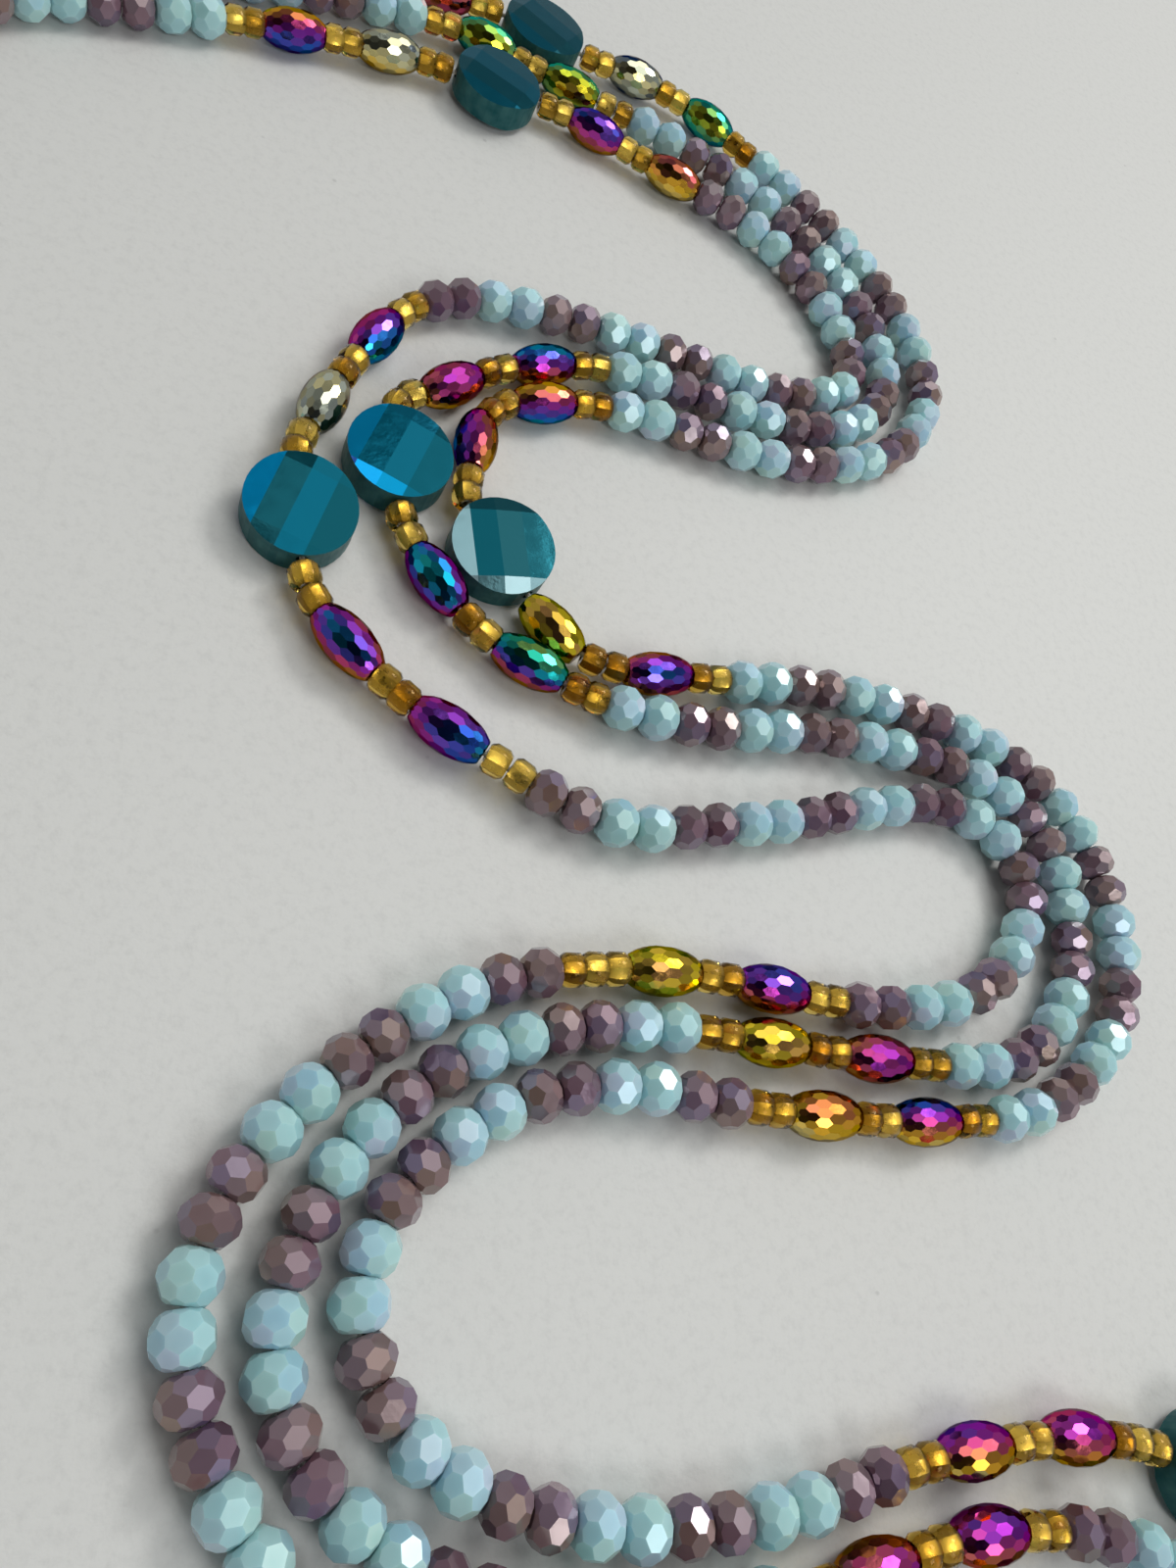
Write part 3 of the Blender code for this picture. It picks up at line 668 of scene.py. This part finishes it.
def makeCoinMaterial(look):
    material, tree, shader = openMaterial("coinGlass", look["shader"])
    wall = readAttribute(tree, "groundWall")
    order = putMath(tree, "MULTIPLY_ADD", readAttribute(tree, "facetChance"),
                    look["facetShift"], readAttribute(tree, "filmStart"))
    face = putRamp(tree, order, look["faceTints"])
    vary = putGroup(tree, facetVariation, look["vary"])
    side = putRamp(tree, vary, look["wallTints"])
    wear = putWear(tree, look)
    rough = putMath(tree, "MULTIPLY_ADD", wall, look["wallRoughness"], wear["Roughness"])
    metal = putRange(tree, wall, given=(look["faceMetal"], look["wallMetal"]))
    feed(tree, shader, {"Base Color": putMix(tree, wall, face, side), "Metallic": metal,
                        "Roughness": rough, "Normal": wear["Normal"]})
    return material


claspLook = {
    "tints": [(0.3, (0.68, 0.50, 0.25)), (0.6, (0.82, 0.64, 0.34))],
    "brush": (60.0, 2500.0, 2500.0),        # strokes per metre, drawn out lengthwise
    "marks": {"Scale": 300.0, "Smudge": 0.25, "Base Roughness": 0.24},
    "bump": {"Strength": 0.3, "Distance": 0.0001},
}


def makeClaspMaterial(look):
    material, tree, shader = openMaterial("claspMetal", {"Metallic": 1.0})
    drawn = putNode(tree, "ShaderNodeMapping",
                    {"Vector": readPlace(tree), "Scale": look["brush"]}).outputs["Vector"]
    brushed = putNoise(tree, drawn, scale=1.0, detail=3.0)
    feed(tree, shader, {"Base Color": putRamp(tree, brushed, look["tints"]),
                        "Roughness": putGroup(tree, handlingMarks, look["marks"]),
                        "Normal": putBump(tree, brushed, look["bump"])})
    return material


aquaGlass = makeRondelleMaterial("aquaGlass", aquaLook)
mauveGlass = makeRondelleMaterial("mauveGlass", mauveLook)
rainbowGlass = makeOvalMaterial(ovalLook)
amberGlass = makeTintedMaterial("amberGlass", seedLook)
goldLining = makeTintedMaterial("goldLining", liningLook)
threadFibre = makeThreadMaterial(threadLook)
coinGlass = makeCoinMaterial(coinLook)
claspMetal = makeClaspMaterial(claspLook)
print("materials made")


# A cut bead is a block that is sliced flat at each facet.
def cutGem(name, facets, blockSize):
    mesh = bmesh.new()
    bmesh.ops.create_cube(mesh, size=blockSize)
    for normal, distance in facets:
        normal = Vector(normal).normalized()
        bmesh.ops.bisect_plane(mesh, geom=mesh.verts[:] + mesh.edges[:] + mesh.faces[:],
                               plane_co=normal * distance, plane_no=normal,
                               dist=1e-7, clear_outer=True)
        rim = [edge for edge in mesh.edges if edge.is_boundary]
        if rim:
            bmesh.ops.holes_fill(mesh, edges=rim, sides=0)
    bmesh.ops.remove_doubles(mesh, verts=mesh.verts, dist=2e-6)
    bmesh.ops.recalc_face_normals(mesh, faces=mesh.faces)
    return placeMesh(name, mesh)


def ringFacets(cut, offset, lift, lean, reach):
    angles = [(index + offset) * turnFull / cut["around"] for index in range(cut["around"])]
    return [((lift, lean * math.cos(angle), lean * math.sin(angle)), reach) for angle in angles]


def cutBead(name, facets, cut):
    ends = [((1, 0, 0), cut["halfLength"]), ((-1, 0, 0), cut["halfLength"])]
    gem = cutGem(name, facets + ends, cut["blockSize"])
    widest = max(math.hypot(vertex.co.y, vertex.co.z) for vertex in gem.data.vertices)
    gem.data.transform(Matrix.Diagonal((1, cut["radius"] / widest, cut["radius"] / widest, 1)))
    return gem


rondelleCut = {
    "around": 8, "halfLength": 0.00235, "radius": 0.00296, "beltRadius": 0.00277, "domeLength": 0.0027,
    "rows": [(33, 0.5), (62, 0.0)],     # tilt towards the hole, share of a step round
    "blockSize": 0.02,
}


def cutRondelle(name, cut):
    facets = ringFacets(cut, 0, 0, 1, cut["beltRadius"])
    for tilt, offset in cut["rows"]:
        lean, lift = math.cos(math.radians(tilt)), math.sin(math.radians(tilt))
        reach = math.hypot(cut["domeLength"] * lift, cut["beltRadius"] * lean)
        for side in (-1, 1):
            facets += ringFacets(cut, offset, side * lift, lean, reach)
    return cutBead(name, facets, cut)


ovalCut = {
    "around": 16, "halfLength": 0.00447, "radius": 0.0029, "domeLength": 0.0052,
    "rowArcs": (0.0, 0.00170, 0.00305, 0.00410, 0.00490),   # rows of facets, from mid-girth
    "blockSize": 0.03, "angleStep": 0.001,
}


def cutOval(name, cut):
    facets = []
    a, b = cut["domeLength"], cut["radius"]
    arc, places, parameter = 0.0, [(0.0, 0.0)], 0.0
    while parameter < math.pi / 2:      # parameter against arc length on the outline
        arc += math.hypot(a * math.cos(parameter), b * math.sin(parameter)) * cut["angleStep"]
        parameter += cut["angleStep"]
        places.append((arc, parameter))
    half = len(cut["rowArcs"]) - 1
    for row in range(-half, half + 1):
        wanted = cut["rowArcs"][abs(row)]
        parameter = math.copysign(next(angle for length, angle in places if length >= wanted), row)
        point = (a * math.sin(parameter), b * math.cos(parameter))
        lean = Vector((math.sin(parameter) / a, math.cos(parameter) / b)).normalized()
        reach = point[0] * lean[0] + point[1] * lean[1]
        facets += ringFacets(cut, 0.5 * (row % 2), lean[0], lean[1], reach)
    return cutBead(name, facets, cut)


# A closed outline of lengths and radii, turned round the thread.
def turnProfile(name, outline, sides):
    mesh = bmesh.new()
    angles = [turnFull * index / sides for index in range(sides)]
    rings = [[mesh.verts.new((x, radius * math.cos(angle), radius * math.sin(angle))) for angle in angles]
             for x, radius in outline]
    for before, after in zip(rings, rings[1:] + rings[:1]):
        for index in range(sides):
            follow = (index + 1) % sides
            mesh.faces.new((before[index], before[follow], after[follow], after[index]))
    bmesh.ops.recalc_face_normals(mesh, faces=mesh.faces)
    return placeMesh(name, mesh)


seedShape = {
    "halfLength": 0.00134, "radius": 0.0020, "shoulder": 0.00078, "lip": 0.00158, "hole": 0.00070,
    "sides": 12, "liningRadius": 0.00105, "liningSides": 6,
    "liningShort": 0.00012,             # what the lining leaves free at each end
    "liningInside": 0.00004,            # how far it reaches into the hole
}


def turnSeed(name, shape):
    ends, shoulder = shape["halfLength"], shape["shoulder"]
    outline = [(-ends, shape["hole"]), (-ends, shape["lip"]), (-shoulder, shape["radius"]),
               (shoulder, shape["radius"]), (ends, shape["lip"]), (ends, shape["hole"])]
    made = turnProfile(name, outline, shape["sides"])
    made.data.shade_smooth()
    return made


def turnLining(name, shape):
    reach, inside = shape["halfLength"] - shape["liningShort"], shape["hole"] - shape["liningInside"]
    outside = shape["liningRadius"]
    outline = [(-reach, inside), (-reach, outside), (reach, outside), (reach, inside)]
    return turnProfile(name, outline, shape["liningSides"])


def putNamed(tree, name, kind="FLOAT_VECTOR"):
    return putNode(tree, "GeometryNodeInputNamedAttribute", {"Name": name},
                   data_type=kind).outputs["Attribute"]


def keepNamed(tree, name, geometry, value, kind, domain):
    return putNode(tree, "GeometryNodeStoreNamedAttribute",
                   {"Name": name, "Geometry": geometry, "Value": value},
                   data_type=kind, domain=domain).outputs["Geometry"]


# One tree strings any bead: a copy on each point, turned along the thread.
def makeStringTree():
    tree, entry, leave = openGroup(
        "stringBeads",
        [("Places", "Geometry", None), ("Bead", "Object", None), ("Bead Size", "Float", 1.0),
         ("Facet Seed", "Int", 1), ("Finish", "Material", None)],
        [("Beads", "Geometry")], "GeometryNodeTree")
    along = putNamed(tree, "along")
    bead = putNode(tree, "GeometryNodeObjectInfo", {"Object": entry["Bead"]})
    aim = putNode(tree, "FunctionNodeAlignRotationToVector", {"Vector": along}, axis="X", pivot_axis="Z")
    spin = putNode(tree, "FunctionNodeAxisAngleToRotation",
                   {"Axis": (1.0, 0.0, 0.0), "Angle": putNamed(tree, "roll", "FLOAT")})
    turned = putNode(tree, "FunctionNodeRotateRotation",
                     {"Rotation": aim.outputs["Rotation"], "Rotate By": spin.outputs["Rotation"]},
                     rotation_space="LOCAL")
    grown = putScale(tree, putNamed(tree, "beadScale"), entry["Bead Size"])
    copies = putNode(tree, "GeometryNodeInstanceOnPoints",
                     {"Points": entry["Places"], "Instance": bead.outputs["Geometry"],
                      "Rotation": turned.outputs["Rotation"], "Scale": grown}).outputs["Instances"]
    real = putNode(tree, "GeometryNodeRealizeInstances", {"Geometry": copies}).outputs["Geometry"]
    normal = putNode(tree, "GeometryNodeInputNormal").outputs["Normal"]
    turn = putNode(tree, "ShaderNodeCombineXYZ",
                   {"X": putDot(tree, normal, along),
                    "Y": putDot(tree, normal, putNamed(tree, "sideways")),
                    "Z": splitAxes(tree, normal)["Z"]}).outputs["Vector"]
    turnKept = keepNamed(tree, "facetTurn", real, turn, "FLOAT_VECTOR", "FACE")
    chance = putNode(tree, "FunctionNodeRandomValue", {"Seed": entry["Facet Seed"]},
                     data_type="FLOAT").outputs[1]
    chanceKept = keepNamed(tree, "facetChance", turnKept, chance, "FLOAT", "FACE")
    finished = putNode(tree, "GeometryNodeSetMaterial",
                       {"Geometry": chanceKept, "Material": entry["Finish"]}).outputs["Geometry"]
    feed(tree, leave, {"Beads": finished})
    return tree


def bakePiece(source, pieceName):
    shot.view_layers[0].update()
    evaluated = source.evaluated_get(bpy.context.evaluated_depsgraph_get())
    data = bpy.data.meshes.new_from_object(evaluated)
    data.name = pieceName
    source.modifiers.clear()
    bpy.data.objects.remove(source, do_unlink=True)
    print(pieceName, sum(len(polygon.vertices) - 2 for polygon in data.polygons), "triangles")
    return placeObject(pieceName, data)


def runTree(tree, source, pieceName, values):
    modifier = source.modifiers.new(tree.name, "NODES")
    modifier.node_group = tree
    for item in tree.interface.items_tree:
        if item.item_type == "SOCKET" and item.in_out == "INPUT" and item.name in values:
            modifier[item.identifier] = values[item.name]
    return bakePiece(source, pieceName)


pointValues = [("FLOAT_VECTOR", "vector", ("along", "sideways", "beadScale")),
               ("FLOAT", "value", ("roll", "beadChance", *filmValues))]


def stringPiece(pieceName, beads, bead, finish, size, facetSeed):
    data = bpy.data.meshes.new(pieceName + "Places")
    data.from_pydata([tuple(item["place"]) for item in beads], [], [])
    for kind, field, labels in pointValues:
        for label in labels:
            layer = data.attributes.new(label, kind, "POINT")
            for index, item in enumerate(beads):
                setattr(layer.data[index], field, item[label])
    piece = runTree(stringTree, placeObject(data.name, data), pieceName,
                    {"Bead": bead, "Bead Size": size, "Facet Seed": facetSeed, "Finish": finish})
    bpy.data.objects.remove(bead, do_unlink=True)
    return piece


stringTree = makeStringTree()
beadChances = {
    "randomSeed": 11,
    "turn": {"seed": 0.12, "aqua": 0.06, "mauve": 0.06, "oval": 0.02},      # radians off the thread
    "girth": 0.02, "filmSpan": (0.05, 0.15),
    "leastRise": 0.25,                  # a side that rises less up the picture is judged by its x
}
chooser = random.Random(beadChances["randomSeed"])

# Each seen oval's film: the colour's order where it faces the viewer, and what it gains
# towards the upper edge, towards every edge, and lengthwise.
ovalFilms = {
    "inner_strand_1": [(0.42, -0.18, -0.10, 0.0), (0.05, -0.05, 0.03, -0.05)],
    "inner_strand_2": [(0.42, 0.16, -0.10, 0.0), (0.23, 0.10, -0.05, 0.0),
                       (0.47, -0.13, -0.05, 0.06), (0.03, 0.00, 0.00, 0.0)],
    "inner_strand_3": [(0.54, 0.02, -0.36, 0.0), (0.48, 0.00, -0.08, 0.15),
                       (0.43, 0.13, -0.12, 0.0), (0.89, 0.00, -0.07, 0.0)],
    "middle_strand_1": [(0.50, 0.1, 0.0, 0.0), (0.20, 0.1, 0.0, 0.0), (0.40, 0.1, 0.0, 0.0),
                        (0.82, 0.02, -0.22, 0.0), (0.86, 0.00, -0.22, 0.0),
                        (0.41, 0.20, -0.03, -0.05), (0.37, 0.05, -0.12, -0.05)],
    "middle_strand_2": [(0.60, 0.02, -0.28, 0.0), (0.62, 0.27, -0.20, 0.0),
                        (0.385, 0.00, -0.16, 0.0), (0.90, 0.00, -0.10, 0.0)],
    "middle_strand_3": [(0.36, -0.10, -0.05, 0.0), (0.40, 0.08, -0.08, 0.0)],
    "outer_strand_1": [(0.2, 0.1, 0.0, 0.0), (0.4, 0.1, 0.0, 0.0), (0.5, -0.1, 0.0, 0.0),
                       (0.3, 0.1, 0.0, 0.0), (0.29, 0.0, 0.03, 0.0)],
    "outer_strand_2": [(0.06, 0.00, -0.08, 0.0), (0.81, 0.02, -0.25, 0.0),
                       (0.35, -0.22, 0.00, 0.0), (0.36, 0.17, -0.02, 0.0)],
    "outer_strand_3": [(0.90, 0.00, -0.08, 0.0), (0.49, 0.02, -0.28, 0.0),
                       (0.34, 0.22, -0.02, 0.0), (0.235, 0.05, -0.10, 0.0),
                       (0.31, 0.19, -0.05, 0.0), (0.36, 0.10, -0.12, 0.0)],
}
for bead in allBeads:
    turnBy = beadChances["turn"][bead["kind"]]
    bead["along"] = Matrix.Rotation(chooser.uniform(-turnBy, turnBy), 3, "Z") @ bead["along"]
    bead["roll"] = chooser.uniform(0, turnFull)
    bead["beadChance"] = chooser.random()
    side = bead["along"].cross(Vector(cameraPlace["location"]) - bead["place"]).normalized()
    if side.y < 0 or (abs(side.y) < beadChances["leastRise"] and side.x > 0):
        side.negate()                   # towards the far edge, as the viewer sees it
    bead["sideways"] = side
    bead["filmStart"] = chooser.random()
    bead["filmSpan"] = chooser.choice((-1, 1)) * chooser.uniform(*beadChances["filmSpan"])
    bead["filmBow"], bead["filmAlong"] = 0.0, 0.0
    girth = 1 - chooser.uniform(0, beadChances["girth"])
    bead["beadScale"] = Vector((1, girth, girth))


def pick(kind, strand=None):
    return [bead for bead in allBeads if bead["kind"] == kind and strand in (None, bead["strand"])]


for strandName, films in ovalFilms.items():
    for bead, film in zip(pick("oval", strandName), films):
        bead.update(zip(filmValues, film))

# The sizes each kind is cut with, and the air that it leaves between two beads.
beadKinds = {
    "aqua": (rondelleCut, 0.00008), "mauve": (rondelleCut, 0.00008),
    "seed": (seedShape, 0.00003), "oval": (ovalCut, 0.00003),
}
mostStretch = 1.12
for bead in allBeads:
    sizes, air = beadKinds[bead["kind"]]
    bead["beadScale"].x = min(mostStretch, (bead["length"] - air) / (2 * sizes["halfLength"]))

# Piece, kind, the function and sizes that make one bead, its finish, its size and its facets' seed.
stringOrders = [
    ("aqua_rondelles", "aqua", cutRondelle, rondelleCut, aquaGlass, 1.0, 3),
    ("mauve_rondelles", "mauve", cutRondelle, rondelleCut, mauveGlass, 0.97, 5),
    ("rainbow_ovals", "oval", cutOval, ovalCut, rainbowGlass, 1.0, 7),
    ("amber_seed_beads", "seed", turnSeed, seedShape, amberGlass, 1.0, 9),
    ("seed_bead_linings", "seed", turnLining, seedShape, goldLining, 1.0, 13),
]
stringPieces = {
    pieceName: stringPiece(pieceName, pick(kind), makeBead(kind + "Bead", sizes), finish, size, facetSeed)
    for pieceName, kind, makeBead, sizes, finish, size, facetSeed in stringOrders}

# The thread: a twisted tube along every route.
threadShape = {"radius": 0.00032, "sides": 8, "step": 0.0016}


def makeThreadTree():
    tree, entry, leave = openGroup(
        "pullThread",
        [("Path", "Geometry", None), ("Radius", "Float", 0.0003), ("Step", "Float", 0.0015),
         ("Sides", "Int", 8), ("Finish", "Material", None)],
        [("Thread", "Geometry")], "GeometryNodeTree")
    line = putNode(tree, "GeometryNodeMeshToCurve", {"Mesh": entry["Path"]}).outputs["Curve"]
    even = putNode(tree, "GeometryNodeResampleCurve",
                   {"Curve": line, "Length": entry["Step"]}, mode="LENGTH").outputs["Curve"]
    run = putNode(tree, "GeometryNodeSplineParameter").outputs["Length"]
    circle = putNode(tree, "GeometryNodeCurvePrimitiveCircle",
                     {"Radius": entry["Radius"], "Resolution": entry["Sides"]}).outputs["Curve"]
    around = putNode(tree, "GeometryNodeSplineParameter").outputs["Factor"]
    sweep = putNode(tree, "GeometryNodeCurveToMesh", {
        "Curve": keepNamed(tree, "threadRun", even, run, "FLOAT", "POINT"),
        "Profile Curve": keepNamed(tree, "threadRound", circle, around, "FLOAT", "POINT"),
        "Fill Caps": True})
    smooth = putNode(tree, "GeometryNodeSetShadeSmooth", {"Geometry": sweep.outputs["Mesh"]})
    real = putNode(tree, "GeometryNodeRealizeInstances", {"Geometry": smooth.outputs["Geometry"]})
    finished = putNode(tree, "GeometryNodeSetMaterial",
                       {"Geometry": real.outputs["Geometry"], "Material": entry["Finish"]})
    feed(tree, leave, {"Thread": finished.outputs["Geometry"]})
    return tree


def pullThread(shape):
    points, edges = [], []
    for line in threadLines:
        first = len(points)
        points += [tuple(point) for point in line]
        edges += [(first + index, first + index + 1) for index in range(len(line) - 1)]
    data = bpy.data.meshes.new("threadPath")
    data.from_pydata(points, edges, [])
    return runTree(makeThreadTree(), placeObject("threadPath", data), "bead_thread",
                   {"Radius": shape["radius"], "Step": shape["step"], "Sides": shape["sides"],
                    "Finish": threadFibre})


stringPieces["bead_thread"] = pullThread(threadShape)

# Coin beads: a thick puck with a ground wall and a face cut into strips.
coinCut = {
    "radius": 0.00668, "thickness": 0.00461, "wallSides": 40, "holeRadius": 0.00075, "holeSides": 12,
    "cutterReach": 2.4,                         # length of the hole's cutter, in radii
    "blockSize": 0.03,
    "stripTurn": -24,                           # degrees from the thread
    "acrossRidges": (-0.60, -0.10, 0.40),       # shares of the radius
    "firstStrip": -0.84,
    "endRidge": 0.68,
    "acrossCurve": 11.0, "endCurve": 15.0,      # how fast the face falls away, per metre
    "wallTurn": 0.5,                            # a facet whose normal rises less belongs to the wall
    "randomSeed": 40,
}
# A coin's colour on its four strips, and what the facets at its near end add. These tones are partly the
# coins' own colour and partly painted reflection. Outer_coin_2's pale strip and lifted near end are a
# painted highlight.
coinFilmsAndPaintedHighlights = {
    "inner_coin_1": (0.34, 0.44, 0.36, 0.42, 0.0), "outer_coin_1": (0.38, 0.46, 0.36, 0.44, 0.1),
    "inner_coin_2": (0.05, 0.52, 0.32, 0.46, 0.0), "middle_coin_1": (0.07, 0.26, 0.28, 0.46, -0.2),
    "outer_coin_2": (0.92, 0.48, 0.60, 0.50, 0.36),
}
plainFilm = (0.30, 0.45, 0.40, 0.50, 0.0)
coinTips = {"inner_coin_2": 8, "middle_coin_1": 4, "outer_coin_2": 7}   # degrees, towards the viewer
flatEnds = {"inner_coin_2": 6.0, "middle_coin_1": 7.0}      # coins whose ends fall away less


def cutCoin(name, cut):
    facets = []
    radius = cut["radius"]
    for index in range(cut["wallSides"]):
        angle = (index + 0.5) * turnFull / cut["wallSides"]
        facets.append(((math.cos(angle), math.sin(angle), 0),
                       radius * math.cos(math.pi / cut["wallSides"])))
    strips = [cut["firstStrip"]]
    for ridge in cut["acrossRidges"]:           # two planes that touch the dome meet halfway
        strips.append(2 * ridge - strips[-1])
    for side in (-1, 1):
        for across in strips:
            for end in (-2 * cut["endRidge"], 0, 2 * cut["endRidge"]):
                u, v = end * radius, across * radius
                height = cut["thickness"] / 2 - cut["endCurve"] * u * u - cut["acrossCurve"] * v * v
                normal = Vector((2 * cut["endCurve"] * u, 2 * cut["acrossCurve"] * v, side)).normalized()
                facets.append((normal, normal.dot(Vector((u, v, height * side)))))
    return cutGem(name, facets, cut["blockSize"])


def drillCoin(gem, centre, heading, cut, pieceName):
    mesh = bmesh.new()
    aim = Vector((0, 0, 1)).rotation_difference(heading).to_matrix().to_4x4()
    bmesh.ops.create_cone(mesh, cap_ends=True, segments=cut["holeSides"],
                          radius1=cut["holeRadius"], radius2=cut["holeRadius"],
                          depth=cut["radius"] * cut["cutterReach"], matrix=Matrix.Translation(centre) @ aim)
    cutter = placeMesh("holeCutter", mesh)
    drill = gem.modifiers.new("drill", "BOOLEAN")
    drill.operation = "DIFFERENCE"
    drill.solver = "EXACT"
    drill.object = cutter
    piece = bakePiece(gem, pieceName)
    bpy.data.objects.remove(cutter, do_unlink=True)
    return piece


def finishCoin(nodeName, seed):
    x, y, degrees = coinPlaces[nodeName]
    centre = tablePoint(x, y)
    cut = dict(coinCut, endCurve=flatEnds.get(nodeName, coinCut["endCurve"]))
    gem = cutCoin(nodeName + "Cut", cut)
    highest = max(vertex.co.z for vertex in gem.data.vertices)
    gem.data.transform(Matrix.Diagonal((1, 1, cut["thickness"] / 2 / highest, 1)))
    viewer = (Vector(cameraPlace["location"]) - centre) * Vector((1, 1, 0))
    tip = Matrix.Rotation(math.radians(coinTips.get(nodeName, 0)), 4, Vector((0, 0, 1)).cross(viewer))
    turn = tip @ Matrix.Rotation(math.radians(degrees + cut["stripTurn"]), 4, "Z")
    gem.data.transform(Matrix.Translation(centre) @ turn)
    piece = drillCoin(gem, centre, headingVector(degrees), cut, nodeName + "_glass")
    wall, chance, film = [piece.data.attributes.new(label, "FLOAT", "FACE")
                          for label in ("groundWall", "facetChance", "filmStart")]
    picker = random.Random(seed)
    # The strip tones here are partly painted reflection, and on outer_coin_2 a painted highlight.
    colour = coinFilmsAndPaintedHighlights.get(nodeName, plainFilm)
    for polygon in piece.data.polygons:
        wall.data[polygon.index].value = 1.0 if abs(polygon.normal.z) < cut["wallTurn"] else 0.0
        chance.data[polygon.index].value = picker.random()
        spot = turn.inverted() @ (polygon.center - centre)
        strip = sum(spot.y > ridge * cut["radius"] for ridge in cut["acrossRidges"])
        nearEnd = spot.x > cut["endRidge"] * cut["radius"]
        film.data[polygon.index].value = max(0.0, colour[strip] + (colour[4] if nearEnd else 0))
    piece.data.materials.clear()
    piece.data.materials.append(coinGlass)
    return piece


coinPieces = {name: finishCoin(name, coinCut["randomSeed"] + index)
              for index, name in enumerate(sorted(coinPlaces))}
print("coins cut:", len(coinPieces))

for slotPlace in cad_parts["clasp_bar"].material_slots:
    slotPlace.material = claspMetal

# Table and light.
tableLook = {
    "size": 3.0,
    "tints": [(0.35, (0.590, 0.590, 0.570)), (0.65, (0.660, 0.660, 0.637))],
    "cloudScale": 700.0, "grainScale": 1600.0, "grainShare": 0.25,
    "fleckScale": 85.0, "fleckReach": (0.018, 0.035), "fleckTone": 0.82,
    "shader": {"Roughness": 0.55},
    "bump": {"Strength": 0.15, "Distance": 0.0002},
}


def makeTable(look):
    mesh = bmesh.new()
    bmesh.ops.create_grid(mesh, x_segments=1, y_segments=1, size=look["size"] / 2)
    table = placeMesh("tableTop", mesh)
    material, tree, shader = openMaterial("tableCard", look["shader"])
    place = readPlace(tree)
    broad = putNoise(tree, place, look["cloudScale"], detail=5.0, roughness=0.72)
    grain = putNoise(tree, place, look["grainScale"], detail=2.0)
    speck = putNode(tree, "ShaderNodeTexVoronoi", {"Vector": place, "Scale": look["fleckScale"]})
    tone = putMath(tree, "MULTIPLY_ADD", grain, look["grainShare"], broad)
    fleck = putRange(tree, speck.outputs["Distance"],
                     taken=look["fleckReach"], given=(look["fleckTone"], 1.0))
    colour = putScale(tree, putRamp(tree, tone, look["tints"]), fleck)
    feed(tree, shader, {"Base Color": colour, "Normal": putBump(tree, grain, look["bump"])})
    table.data.materials.append(material)
    return table


tableTop = makeTable(tableLook)

studioLight = {
    "sky": [(0.0, (0.80, 0.81, 0.81)), (0.45, (0.54, 0.55, 0.555)), (0.95, (0.20, 0.21, 0.22))],
    "skyStrength": 0.84,
    "shade": {"towards": (-0.40, -0.48, 0.78), "reach": (0.72, 0.93), "left": 0.10},
    "lamps": [
        {"name": "softBox", "place": (0.50, 0.50, 1.50), "size": 1.40, "power": 10.8,
         "colour": (1.0, 1.0, 0.98)},
        {"name": "window", "place": (0.69, 0.60, 0.95), "size": 0.36, "power": 4.4,
         "colour": (1.0, 0.99, 0.97)},
        {"name": "second", "place": (0.20, -0.34, 0.42), "size": 0.20, "power": 0.72,
         "colour": (0.97, 0.99, 1.0)},
    ],
}


def makeLight(facts):
    data = bpy.data.lights.new(facts["name"], "AREA")
    data.shape = "SQUARE"
    data.size = facts["size"]
    data.energy = facts["power"]
    data.color = facts["colour"]
    lamp = placeObject(facts["name"], data)
    lamp.location = facts["place"]
    lamp.rotation_euler = (-Vector(facts["place"])).to_track_quat("-Z", "Y").to_euler()


# The room grows darker upwards, with one dark patch that the beads mirror.
def makeRoom(facts):
    room = bpy.data.worlds.new("softRoom")
    shot.world = room
    room.use_nodes = True
    tree = room.node_tree
    place = readPlace(tree, "Generated")
    sky = putRamp(tree, splitAxes(tree, place)["Z"], facts["sky"])
    shade = facts["shade"]
    toShade = putDot(tree, place, Vector(shade["towards"]).normalized())
    dimmed = putRange(tree, toShade, taken=shade["reach"], given=(1.0, shade["left"]),
                      interpolation_type="SMOOTHSTEP")
    feed(tree, tree.nodes["Background"], {"Color": putScale(tree, sky, dimmed),
                                          "Strength": facts["skyStrength"]})


for lampFacts in studioLight["lamps"]:
    makeLight(lampFacts)
makeRoom(studioLight)
shot.view_settings.view_transform = "Standard"
print("table and light made")

for pieceName, slotName in (("aqua_rondelles", "aqua_glass"), ("mauve_rondelles", "mauve_glass"),
                            ("rainbow_ovals", "rainbow_glass"), ("amber_seed_beads", "amber_glass"),
                            ("seed_bead_linings", "amber_glass"), ("bead_thread", "thread")):
    piece = stringPieces[pieceName]
    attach(piece, "root")
    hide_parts(*strandNodes)
for nodeName, piece in coinPieces.items():
    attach(piece, "root")
    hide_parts(nodeName)
